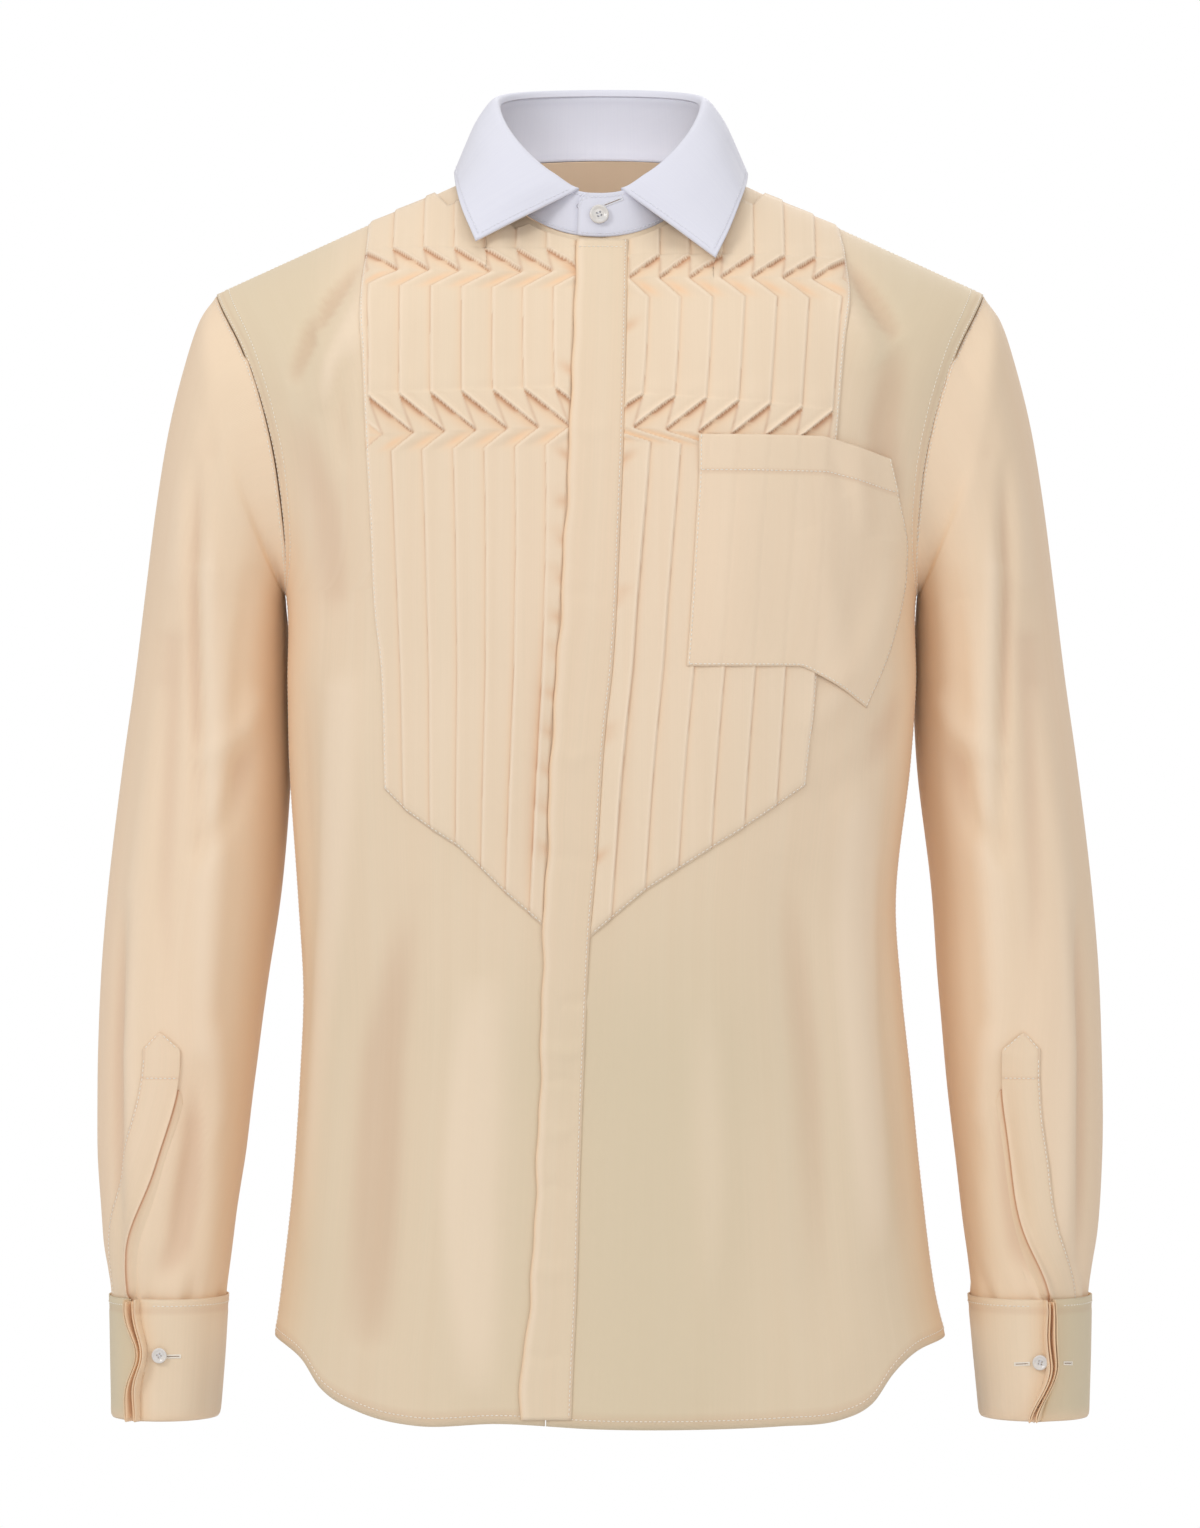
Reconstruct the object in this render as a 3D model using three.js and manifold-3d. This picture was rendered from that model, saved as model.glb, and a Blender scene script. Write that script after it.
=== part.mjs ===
// Pleated dress shirt with a white collar, a chest bib on each side and turned-back cuffs.
// It keeps the filled-out, hollow form that it has when it is worn.
// Millimetres, +Z up. The front faces -Y, and +X is the wearer's left.
// The origin is at the middle of the neck opening, at the height of the neck points.
import * as THREE from "three";
import { mergeVertices } from "three/addons/utils/BufferGeometryUtils.js";
import Module from "manifold-3d";

const wasm = await Module();
wasm.setup();

// Driving dimensions
const clothWall = 1.5;
const seamGap = 0.3;
const armholeSeam = 0.6;
const bibLift = 1.6;
const bibTopLift = 1.7;
const roundness = 2.4;
const neckHalfWidth = 66;
const neckFrontDepth = 64;
const neckBackDepth = 60;
const neckPointHeight = 9;
const neckFrontDrop = 45;
const neckBackRise = 11;
const ridgeArch = 30;
const shoulderSlope = 0.455;
const shoulderLevelAt = 86;
const shoulderRoll = 80;
const shoulderPointHeight = -62;
const underarmHeight = -245;
const yokeDropCentre = -95;
const armholeRows = 10;
const yokeRows = 3;
const standLean = 4;
const leafWall = 1.6;
const placketLift = 1;
const placketTop = 3.8;
const collarButtonRadius = 5.75;
const cuffButtonRadius = 4.6;

// Body sections: half widths to the wearer's right and left, middle plane, front and back depths
const bodySections = [
  { z: 60, right: 252, left: 252, mid: 0, front: 58, back: 93 },
  { z: 20, right: 252, left: 252, mid: 0, front: 60, back: 95 },
  { z: -36, right: 252, left: 252, mid: 0, front: 68, back: 107 },
  { z: -62, right: 252, left: 252, mid: 0, front: 84, back: 114 },
  { z: -104, right: 236, left: 236, mid: -3, front: 101, back: 121 },
  { z: -140, right: 222, left: 222, mid: -6, front: 109, back: 126 },
  { z: -177, right: 208, left: 208, mid: -10, front: 112, back: 131 },
  { z: -245, right: 187.5, left: 189, mid: -15, front: 112, back: 133 },
  { z: -300, right: 186.5, left: 188.6, mid: -15, front: 111, back: 132 },
  { z: -345, right: 185.5, left: 185.5, mid: -15, front: 110, back: 130 },
  { z: -429, right: 180, left: 176.5, mid: -15, front: 105, back: 127 },
  { z: -483, right: 177, left: 180, mid: -15, front: 102, back: 125 },
  { z: -530, right: 178.8, left: 185, mid: -15, front: 100, back: 124 },
  { z: -600, right: 183.5, left: 192, mid: -15, front: 99, back: 123 },
  { z: -662, right: 190.5, left: 200, mid: -15, front: 98, back: 122 },
  { z: -690, right: 194, left: 206, mid: -15, front: 98, back: 122 },
  { z: -760, right: 198, left: 210, mid: -15, front: 98, back: 122 },
];

// Places of a panel's columns, from the centre line to the side. The close ones shape the neck
const columnShares = [0, 0.03, 0.06, 0.09, 0.12, 0.15, 0.17, 0.18, 0.25, 0.34, 0.44, 0.55, 0.67, 0.78, 0.89, 1];

// The armhole edge as a share of the half width
const armholeEdge = [
  { z: -62, share: 0.9167 },
  { z: -104, share: 0.893 },
  { z: -140, share: 0.896 },
  { z: -177, share: 0.92 },
  { z: -210, share: 0.955 },
  { z: -245, share: 1 },
];

// The shirt-tail hem, from the wearer's right side seam to the left one
const hemLine = [
  { x: -230, z: -676 },
  { x: -194, z: -687 },
  { x: -176, z: -698 },
  { x: -165, z: -714 },
  { x: -142, z: -727 },
  { x: -107, z: -734 },
  { x: -60, z: -732 },
  { x: 0, z: -735 },
  { x: 58, z: -735.5 },
  { x: 105, z: -734 },
  { x: 141, z: -731 },
  { x: 160, z: -722 },
  { x: 172, z: -706 },
  { x: 186, z: -694 },
  { x: 206, z: -687.5 },
  { x: 240, z: -676 },
];

// The placket drifts to the wearer's right on the way down
const placketEdges = [
  { z: -36, right: -13.5, left: 16.5 },
  { z: -147, right: -17.5, left: 14 },
  { z: -200, right: -19.8, left: 12 },
  { z: -290, right: -25, left: 7.4 },
  { z: -330, right: -28, left: 2.9 },
  { z: -400, right: -30.8, left: -1.7 },
  { z: -448, right: -33.2, left: -5.8 },
  { z: -510, right: -34.4, left: -8.7 },
  { z: -590, right: -37.3, left: -11.7 },
  { z: -660, right: -41, left: -13.6 },
  { z: -700, right: -45.8, left: -15.5 },
  { z: -740, right: -47, left: -17 },
];

// Sleeve rings: outer point, underside point on each sleeve, fore-and-aft half depth and middle
const sleeveRings = [
  { outX: 240, outZ: -82, rightX: 188.9, leftX: 190.4, underZ: -245.8, depth: 64, mid: -3 },
  { outX: 250, outZ: -112, rightX: 188.6, leftX: 190.1, underZ: -249, depth: 68, mid: 0 },
  { outX: 259, outZ: -148, rightX: 188.4, leftX: 189.9, underZ: -255, depth: 71, mid: 5 },
  { outX: 266.5, outZ: -192, rightX: 187.8, leftX: 189.6, underZ: -263, depth: 73, mid: 10 },
  { outX: 273, outZ: -240, rightX: 187.2, leftX: 189.2, underZ: -278, depth: 74, mid: 16 },
  { outX: 280, outZ: -295, rightX: 186.5, leftX: 189, underZ: -306, depth: 74, mid: 20 },
  { outX: 288, outZ: -352, rightX: 186.4, leftX: 191.6, underZ: -354, depth: 72, mid: 20 },
  { outX: 296, outZ: -420, rightX: 191.5, leftX: 199.5, underZ: -420, depth: 69, mid: 18 },
  { outX: 300.5, outZ: -480, rightX: 200, leftX: 203.5, underZ: -478, depth: 65, mid: 14 },
  { outX: 302, outZ: -536, rightX: 207, leftX: 208, underZ: -532, depth: 61, mid: 10 },
  { outX: 301.5, outZ: -585, rightX: 213, leftX: 213.5, underZ: -582, depth: 56, mid: 6 },
  { outX: 298, outZ: -630, rightX: 219.5, leftX: 218.5, underZ: -627, depth: 49, mid: 1 },
  { outX: 292.4, outZ: -662, rightX: 224.2, leftX: 222.2, underZ: -661, depth: 41.8, mid: -3.3 },
  { outX: 291.6, outZ: -671, rightX: 225, leftX: 223, underZ: -671, depth: 40.8, mid: -3.5 },
];
const slitRing = 10;
const slitHalfGape = 13;
// How far each ring is turned about the arm, in degrees, so that the slit lies where it opens
const sleeveTurn = [
  { z: -480, turn: 0 },
  { z: -536, turn: 6 },
  { z: -585, turn: -8 },
  { z: -630, turn: -28 },
  { z: -671, turn: -37 },
];

// Bib fold lines: for each level, the height, the first line's place, the pitch and the fold's rise
const bibLevels = {
  right: [
    { z: -44, x: -140, pitch: 18.1, rise: 1.7 },
    { z: -51, x: -129.2, pitch: 18.1, rise: 3.6 },
    { z: -58, x: -118.3, pitch: 18.1, rise: 2.2 },
    { z: -67.5, x: -135.3, pitch: 18, rise: 1.5 },
    { z: -100, x: -135.2, pitch: 18, rise: 1.5 },
    { z: -130, x: -135, pitch: 18.1, rise: 1.7 },
    { z: -141, x: -121.6, pitch: 18.1, rise: 4 },
    { z: -152, x: -108.2, pitch: 18.1, rise: 2.4 },
    { z: -163, x: -121.2, pitch: 17.9, rise: 1.6 },
    { z: -190, x: -119.8, pitch: 17.7, rise: 1.6 },
    { z: -220, x: -118.5, pitch: 17.4, rise: 1.6 },
    { z: -257, x: -117, pitch: 16.9, rise: 1.6 },
    { z: -295, x: -115.6, pitch: 16.4, rise: 1.6 },
    { z: -330, x: -115, pitch: 15.9, rise: 1.5 },
    { z: -365, x: -114.4, pitch: 15.4, rise: 1.4 },
    { z: -410, x: -113.2, pitch: 14.7, rise: 1.3 },
    { z: -455, x: -112, pitch: 14, rise: 1.2 },
  ],
  left: [
    { z: -49, x: 145.6, pitch: -18.4, rise: 1.7 },
    { z: -55.5, x: 135.2, pitch: -18.2, rise: 3.6 },
    { z: -62.5, x: 124.8, pitch: -18, rise: 2.2 },
    { z: -74, x: 141.5, pitch: -18.8, rise: 1.5 },
    { z: -104, x: 139, pitch: -18.6, rise: 1.5 },
    { z: -136, x: 136.2, pitch: -18.5, rise: 1.7 },
    { z: -145, x: 125, pitch: -18.6, rise: 4 },
    { z: -154.5, x: 113.5, pitch: -18.8, rise: 1.9 },
    { z: -163, x: 135.3, pitch: -17.6, rise: 1 },
    { z: -190, x: 132.8, pitch: -17.6, rise: 0.9 },
    { z: -220, x: 130.2, pitch: -17.6, rise: 0.9 },
    { z: -255, x: 127.8, pitch: -17.7, rise: 0.9 },
    { z: -290, x: 125.5, pitch: -17.7, rise: 1.2 },
    { z: -328, x: 123.2, pitch: -18, rise: 1.4 },
    { z: -365, x: 121, pitch: -18.2, rise: 1.4 },
    { z: -410, x: 119, pitch: -18.4, rise: 1.3 },
    { z: -455, x: 117, pitch: -18.6, rise: 1.2 },
  ],
};
const bibLines = 7;
const foldFoot = 0.9;
const bibWall = 1.2;
const bibSlabReach = 158;
const bibTopFractions = [0, 0.06, 0.22, 0.5];
// How far below the neck and shoulder seams a bib starts, outwards to each place across
const bibTopDrops = [{ upTo: 45, drop: 4 }, { upTo: 95, drop: 14 }, { upTo: 200, drop: 1.5 }];

// Bib outlines down the outer edge and along the slanting lower edge
const bibOutlines = {
  right: [[-139, 40], [-138.4, -33], [-140.4, -56], [-137.4, -145], [-134.2, -200], [-131.1, -261],
    [-128, -287], [-125.7, -361.4], [-112.7, -374.8], [-97.4, -385.9], [-82.1, -395.7],
    [-69.3, -407.9], [-55.3, -421.9], [-33.6, -441]],
  left: [[143, 40], [142.7, -28], [146, -45], [147.6, -63], [144.3, -95], [139.1, -154],
    [126.3, -299.5], [119.8, -359.7], [105.6, -369.6], [81.6, -385.8], [61.1, -398.6],
    [43.1, -410.2], [25, -421.9], [-5.2, -447.5]],
};

// Chest pocket: its left, right, top and bottom edges in even steps across and down
const pocketRows = [
  { z: -156, inner: 57.2, outer: 171.4, sag: -12 },
  { z: -178, inner: 57.1, outer: 176.8, sag: -12 },
  { z: -210, inner: 55.2, outer: 181.4, sag: -11 },
  { z: -240, inner: 53.4, outer: 177.6, sag: -12 },
  { z: -268, inner: 51.6, outer: 169, sag: -16 },
  { z: -290, inner: 50, outer: 156.3, sag: -24 },
];
const pocketColumns = 9;
const pocketLift = 5.7;
const pocketDropLift = 2.8;
const pocketWall = 1.2;

// The collar leaf's outer edge, from the right tip round the back of the neck to the left tip
const leafEdge = [
  { x: -73.3, y: -66, z: -38.9 },
  { x: -80.4, y: -50, z: -21 },
  { x: -84.6, y: -32, z: -5 },
  { x: -86, y: -12, z: 4.5 },
  { x: -84.5, y: 12, z: 9.5 },
  { x: -74, y: 42, z: 12.5 },
  { x: -44, y: 68, z: 14.5 },
  { x: 0, y: 77, z: 15 },
  { x: 44, y: 68, z: 14.5 },
  { x: 74.5, y: 42, z: 12 },
  { x: 85.2, y: 12, z: 9 },
  { x: 86.6, y: -12, z: 3.5 },
  { x: 83.4, y: -34, z: -11 },
  { x: 76.4, y: -54, z: -31 },
  { x: 68, y: -70, z: -49.5 },
];
// The roll line round the top of the stand
const standTop = [
  { angle: -180, height: 38.5 },
  { angle: -90, height: 38 },
  { angle: -50, height: 33 },
  { angle: -20, height: 27 },
  { angle: 0, height: 26 },
  { angle: 20, height: 27 },
  { angle: 50, height: 33 },
  { angle: 90, height: 38 },
  { angle: 180, height: 38.5 },
];
const leafStartAngle = 12;
const leafColumns = 32;
const leafClearance = 12;
const standColumns = 34;
const standUnderEnd = 12;
const standOverEnd = -13;
const standLap = 2.3;
const standSeam = 0.9;

// Turned-back cuffs: wall path sizes at the top and bottom edges
const cuffRings = [
  { z: -664.5, outX: 291.2, rightX: 225.4, leftX: 223.6, depth: 41.4, mid: -3.5 },
  { z: -700, outX: 290.4, rightX: 228, leftX: 227, depth: 40, mid: -5 },
  { z: -737, outX: 289.6, rightX: 231.2, leftX: 230.4, depth: 38.6, mid: -6 },
];
const cuffOpenAngle = 62;
const cuffFlare = 11;
const cuffSegments = 28;
const cuffEndSpread = 0.4;
const cuffButtonLift = 4.4;
const cuffFoldProfile = [
  { out: 3.6, z: -664.5 }, { out: 3.6, z: -700 }, { out: 3.5, z: -735.8 }, { out: 2.7, z: -737 },
  { out: 0.8, z: -737 }, { out: 0, z: -735.8 }, { out: 0, z: -700 }, { out: 0, z: -672.2 },
  { out: 1.4, z: -672.2 }, { out: 1.4, z: -700 }, { out: 1.4, z: -734.4 }, { out: 2.3, z: -734.4 },
  { out: 2.3, z: -700 }, { out: 2.3, z: -664.5 },
];

// Sleeve placket and underlap strips beside the slit: width across the arm and lift at each height
const sleevePlacketRows = [
  { z: -506, width: 1, start: 13 },
  { z: -516, width: 26, start: 0.2 },
  { z: -540, width: 26.5, start: 0.2 },
  { z: -562, width: 26, start: 0.2 },
  { z: -585, width: 26, start: 0.2 },
  { z: -608, width: 25, start: 0.2 },
  { z: -632, width: 24, start: 0.2 },
  { z: -661.6, width: 22, start: 0.2 },
];
const underlapRows = [
  { z: -546, width: 8 },
  { z: -585, width: 8 },
  { z: -608, width: 9 },
  { z: -632, width: 11 },
  { z: -661.6, width: 18 },
];
const stripLift = 2;
const stripWall = 1.2;

const creamCloth = new THREE.MeshStandardMaterial({ color: 0xedd4b8, roughness: 0.85, metalness: 0 });
const whiteCloth = new THREE.MeshStandardMaterial({ color: 0xe6e6ee, roughness: 0.8, metalness: 0 });
const pearl = new THREE.MeshStandardMaterial({ color: 0xe9e4da, roughness: 0.25, metalness: 0 });

// Smooth reading of one column of a table against its key column
function read(table, key, at, column) {
  const rows = table[0][key] < table[table.length - 1][key] ? table : [...table].reverse();
  const last = rows.length - 1;
  if (at <= rows[0][key]) return rows[0][column];
  if (at >= rows[last][key]) return rows[last][column];
  let i = 0;
  while (rows[i + 1][key] < at) i += 1;
  const slope = (a, b) => (rows[b][column] - rows[a][column]) / (rows[b][key] - rows[a][key]);
  const before = i > 0 ? (slope(i - 1, i) + slope(i, i + 1)) / 2 : slope(i, i + 1);
  const after = i + 1 < last ? (slope(i, i + 1) + slope(i + 1, i + 2)) / 2 : slope(i, i + 1);
  const step = rows[i + 1][key] - rows[i][key];
  const t = (at - rows[i][key]) / step;
  const t2 = t * t;
  const t3 = t2 * t;
  return (2 * t3 - 3 * t2 + 1) * rows[i][column] + (t3 - 2 * t2 + t) * step * before
    + (3 * t2 - 2 * t3) * rows[i + 1][column] + (t3 - t2) * step * after;
}

const mix = (a, b, t) => a + (b - a) * t;

// Height of the shoulder ridge, and of the neck seam where it crosses in front or behind
function ridgeHeight(x) {
  const reach = Math.abs(x);
  if (reach >= neckHalfWidth) return (shoulderLevelAt - reach) * shoulderSlope;
  return neckPointHeight + ridgeArch * Math.sqrt(1 - (reach / neckHalfWidth) ** 2);
}

function topHeight(facing, x) {
  const reach = Math.abs(x);
  if (reach >= neckHalfWidth) return ridgeHeight(x);
  const inward = Math.sqrt(1 - (reach / neckHalfWidth) ** 2);
  return neckPointHeight + (facing < 0 ? -neckFrontDrop * inward ** 1.3 : neckBackRise * inward);
}

// One point of the body's outer surface. facing is -1 in front and 1 behind
function rawDepth(facing, x, cosine, z) {
  const along = Math.min(Math.max((ridgeHeight(x) - z) / shoulderRoll, 0), 1);
  const rounding = Math.sqrt(1 - (1 - along) ** 2);
  const reach = read(bodySections, "z", z, facing < 0 ? "front" : "back");
  return facing * reach * rounding * cosine ** (2 / roundness);
}

function bodyPoint(facing, angle, z) {
  const half = read(bodySections, "z", z, angle < 0 ? "right" : "left");
  const x = Math.sign(angle) * half * Math.abs(Math.sin(angle)) ** (2 / roundness);
  const cosine = Math.max(Math.cos(angle), 0);
  let y = read(bodySections, "z", z, "mid") + rawDepth(facing, x, cosine, z);
  if (Math.abs(x) < neckHalfWidth) {
    const top = topHeight(facing, x);
    const neckDepth = facing < 0 ? neckFrontDepth : neckBackDepth;
    const wanted = facing * neckDepth * Math.sqrt(1 - (x / neckHalfWidth) ** 2);
    const fade = Math.exp((Math.min(z, top) - top) / 40);
    y += (wanted - rawDepth(facing, x, cosine, top)) * fade;
  }
  return new THREE.Vector3(x, y + facing * seamGap / 2, z);
}

function angleOf(x, z) {
  const half = read(bodySections, "z", z, x < 0 ? "right" : "left");
  return Math.sign(x) * Math.asin(Math.min(Math.abs(x) / half, 1) ** (roundness / 2));
}

const frontPoint = (x, z) => bodyPoint(-1, angleOf(x, z), z);

function edgeAngle(z) {
  if (z <= underarmHeight) return Math.PI / 2;
  const share = read(armholeEdge, "z", Math.min(z, shoulderPointHeight), "share");
  return Math.asin(share ** (roundness / 2));
}

// Solves for the height where a column meets a line that depends on its place across
function settle(start, acrossAt, lineAt) {
  let z = start;
  for (let i = 0; i < 40; i += 1) z = mix(z, lineAt(acrossAt(z)), 0.7);
  return z;
}

// A panel from an inner line to the side seam and the armhole
function bodyGrid(facing, side, innerAngle, rowHeights) {
  const rows = [];
  const angleAt = (u, z) => mix(innerAngle(z), side * edgeAngle(z), u);
  const xAt = (u, z) => bodyPoint(facing, angleAt(u, z), z).x;
  columnShares.forEach((u) => {
    const top = settle(-20, (z) => xAt(u, z), (x) => topHeight(facing, x));
    const hem = settle(-700, (z) => xAt(u, z), (x) => read(hemLine, "x", x, "z"));
    rowHeights(u, top, hem).forEach((z, r) => {
      rows[r] = rows[r] || [];
      rows[r].push(bodyPoint(facing, angleAt(u, z), z));
    });
  });
  return rows;
}

const eased = (i) => (1 - Math.cos(Math.PI * i / armholeRows)) / 2;

function armholeHeights(top) {
  return Array.from({ length: armholeRows + 1 }, (unused, i) => mix(top, underarmHeight, eased(i)));
}

const skirtShares = [0.12, 0.28, 0.46, 0.64, 0.82, 1];
const skirtHeights = (hem) => skirtShares.map((share) => mix(underarmHeight, hem, share));

// Normals of a grid of points, turned to face away from the given middle
function gridNormals(grid, middle, wrap) {
  const rows = grid.length;
  const columns = grid[0].length;
  let total = 0;
  const normals = grid.map((row, r) => row.map((point, c) => {
    const left = row[wrap ? (c + columns - 1) % columns : Math.max(c - 1, 0)];
    const right = row[wrap ? (c + 1) % columns : Math.min(c + 1, columns - 1)];
    const up = grid[Math.max(r - 1, 0)][c];
    const down = grid[Math.min(r + 1, rows - 1)][c];
    const across = right.clone().sub(left);
    const along = down.clone().sub(up);
    const normal = across.cross(along).normalize();
    total += normal.dot(point.clone().sub(middle(point)));
    return normal;
  }));
  if (total < 0) normals.forEach((row) => row.forEach((normal) => normal.negate()));
  return normals;
}

// A closed wall between two offsets of a grid
function wallGeometry(grid, normals, inner, outer, options = {}) {
  const rows = grid.length;
  const columns = grid[0].length;
  const positions = [];
  const indices = [];
  const lift = (value, r, c) => (typeof value === "function" ? value(r, c) : value);
  const face = [outer, inner].map((offset) => grid.map((row, r) => row.map((point, c) => {
    const moved = point.clone().addScaledVector(normals[r][c], lift(offset, r, c));
    positions.push(moved.x, moved.y, moved.z);
    return positions.length / 3 - 1;
  })));
  const quad = (a, b, c, d) => indices.push(a, b, c, a, c, d);
  const steps = options.wrap ? columns : columns - 1;
  const next = (c) => (c + 1) % columns;
  for (let r = 0; r < rows - 1; r += 1) {
    for (let c = 0; c < steps; c += 1) {
      quad(face[0][r][c], face[0][r][next(c)], face[0][r + 1][next(c)], face[0][r + 1][c]);
      quad(face[1][r][c], face[1][r + 1][c], face[1][r + 1][next(c)], face[1][r][next(c)]);
    }
  }
  for (let c = 0; c < steps; c += 1) {
    const end = rows - 1;
    quad(face[0][0][c], face[1][0][c], face[1][0][next(c)], face[0][0][next(c)]);
    quad(face[0][end][c], face[0][end][next(c)], face[1][end][next(c)], face[1][end][c]);
  }
  if (!options.wrap) {
    const end = columns - 1;
    for (let r = options.openFrom || 0; r < rows - 1; r += 1) {
      quad(face[0][r][0], face[0][r + 1][0], face[1][r + 1][0], face[1][r][0]);
      quad(face[0][r][end], face[1][r][end], face[1][r + 1][end], face[0][r + 1][end]);
    }
  }
  return closedGeometry(positions, indices);
}

// Joins shared vertices, drops faces with no area and turns the faces outwards
function closedGeometry(positions, indices) {
  let geometry = new THREE.BufferGeometry();
  geometry.setAttribute("position", new THREE.Float32BufferAttribute(positions, 3));
  geometry.setIndex(indices);
  geometry = mergeVertices(geometry, 0.002);
  const index = geometry.index.array;
  const place = geometry.attributes.position;
  const kept = [];
  let volume = 0;
  const a = new THREE.Vector3();
  const b = new THREE.Vector3();
  const c = new THREE.Vector3();
  for (let i = 0; i < index.length; i += 3) {
    const [p, q, s] = [index[i], index[i + 1], index[i + 2]];
    if (p !== q && q !== s && s !== p) {
      kept.push(p, q, s);
      a.fromBufferAttribute(place, p);
      b.fromBufferAttribute(place, q);
      c.fromBufferAttribute(place, s);
      volume += a.dot(b.cross(c));
    }
  }
  if (volume < 0) {
    for (let i = 0; i < kept.length; i += 3) [kept[i], kept[i + 1]] = [kept[i + 1], kept[i]];
  }
  geometry.setIndex(kept);
  return geometry;
}

function solidOf(geometry) {
  const mesh = new wasm.Mesh({
    numProp: 3,
    vertProperties: new Float32Array(geometry.attributes.position.array),
    triVerts: new Uint32Array(geometry.index.array),
  });
  return new wasm.Manifold(mesh);
}

function geometryOf(solid) {
  const mesh = solid.getMesh();
  return closedGeometry(Array.from(mesh.vertProperties), Array.from(mesh.triVerts));
}

const shirt = new THREE.Group();

function addPiece(name, geometry, material) {
  geometry.computeVertexNormals();
  const piece = new THREE.Mesh(geometry, material);
  piece.name = name;
  shirt.add(piece);
  return piece;
}

const bodyMiddle = (point) => new THREE.Vector3(point.x * 0.3, 0, Math.min(point.z, -60) - 10);

// Along the shoulder and side seams a wall's edge stands square to the seam's plane
function squareSeams(grid, normals, firstRow) {
  grid.forEach((row, r) => row.forEach((point, c) => {
    const onShoulder = r === firstRow && Math.abs(point.x) > neckHalfWidth - 1;
    const atEdge = c === row.length - 1 || (Math.abs(point.x) > 60 && c === 0);
    const onSide = point.z < underarmHeight + 0.5 && atEdge;
    if (onShoulder || onSide) normals[r][c].setY(0).normalize();
  }));
}

// Fronts, back and yoke. Each grid's last column is one part of an armhole
const placketMiddle = (z) => (read(placketEdges, "z", z, "right") + read(placketEdges, "z", z, "left")) / 2;

function makeFront(side) {
  const inner = (z) => angleOf(placketMiddle(z) + side * seamGap, z);
  const grid = bodyGrid(-1, side, inner, (u, top, hem) => [...armholeHeights(top), ...skirtHeights(hem)]);
  const normals = gridNormals(grid, bodyMiddle);
  squareSeams(grid, normals, 0);
  normals.forEach((row) => row[0].setX(0).normalize());
  return { grid, normals };
}

// Rows of the yoke and then of the back, parted by the yoke seam
const armholeStart = eased(yokeRows);

function behindHeights(u, top, hem) {
  const seamAtArmhole = mix(shoulderPointHeight, underarmHeight, armholeStart);
  const seam = mix(yokeDropCentre, seamAtArmhole, u ** 2);
  const heights = [];
  for (let i = 0; i <= yokeRows; i += 1) {
    heights.push(mix(top, seam + seamGap / 2, eased(i) / armholeStart));
  }
  for (let i = yokeRows; i <= armholeRows; i += 1) {
    const share = (eased(i) - armholeStart) / (1 - armholeStart);
    heights.push(mix(seam - seamGap / 2, underarmHeight, share));
  }
  return [...heights, ...skirtHeights(hem)];
}

// Two halves joined at the centre line
function joinHalves(right, left) {
  return right.map((row, r) => [...[...row].reverse().slice(0, -1), ...left[r]]);
}

function makeBehind() {
  const centre = () => 0;
  const grid = joinHalves(bodyGrid(1, -1, centre, behindHeights), bodyGrid(1, 1, centre, behindHeights));
  const normals = gridNormals(grid, bodyMiddle);
  squareSeams(grid, normals, 0);
  normals[yokeRows].forEach((normal, c) => {
    normal.add(normals[yokeRows + 1][c]).normalize();
    normals[yokeRows + 1][c].copy(normal);
  });
  const part = (from, to) => ({ grid: grid.slice(from, to), normals: normals.slice(from, to) });
  return { yoke: part(0, yokeRows + 1), back: part(yokeRows + 1) };
}

const fronts = { right: makeFront(-1), left: makeFront(1) };
const { yoke, back } = makeBehind();
const bodyPieces = [["front_right", fronts.right], ["front_left", fronts.left], ["back", back], ["yoke", yoke]];
bodyPieces.forEach(([name, { grid, normals }]) => {
  addPiece(name, wallGeometry(grid, normals, -clothWall, 0), creamCloth.clone());
});

// Bibs: a wall whose outer face steps down at the foot of each fold, cut to the bib's outline
function bibRow(levels, level, side) {
  const { x, pitch, rise, z } = level;
  const margin = [0, 0.35, 0.7].map((share) => mix(side * bibSlabReach, x, share));
  const points = margin.map((place) => ({ x: place, z, rise: 0 }));
  for (let line = 0; line < bibLines; line += 1) {
    const crest = x + pitch * line;
    points.push({ x: crest + side * foldFoot, z, rise: 0 });
    points.push({ x: crest, z, rise });
  }
  const lastCrest = points[points.length - 1].x;
  const placketEdge = read(placketEdges, "z", z, side < 0 ? "right" : "left");
  const pastEdge = side < 0 ? Math.max(lastCrest, placketEdge) + 3 : Math.min(lastCrest, placketEdge) - 3;
  points.push({ x: pastEdge, z, rise: 0 });
  return points;
}

function outlinePrism(points) {
  const shape = new THREE.Shape(points.map(([x, z]) => new THREE.Vector2(x, z)));
  const prism = new THREE.ExtrudeGeometry(shape, { depth: 170, bevelEnabled: false });
  prism.rotateX(Math.PI / 2);
  prism.deleteAttribute("normal");
  prism.deleteAttribute("uv");
  return mergeVertices(prism, 0.001);
}

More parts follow.
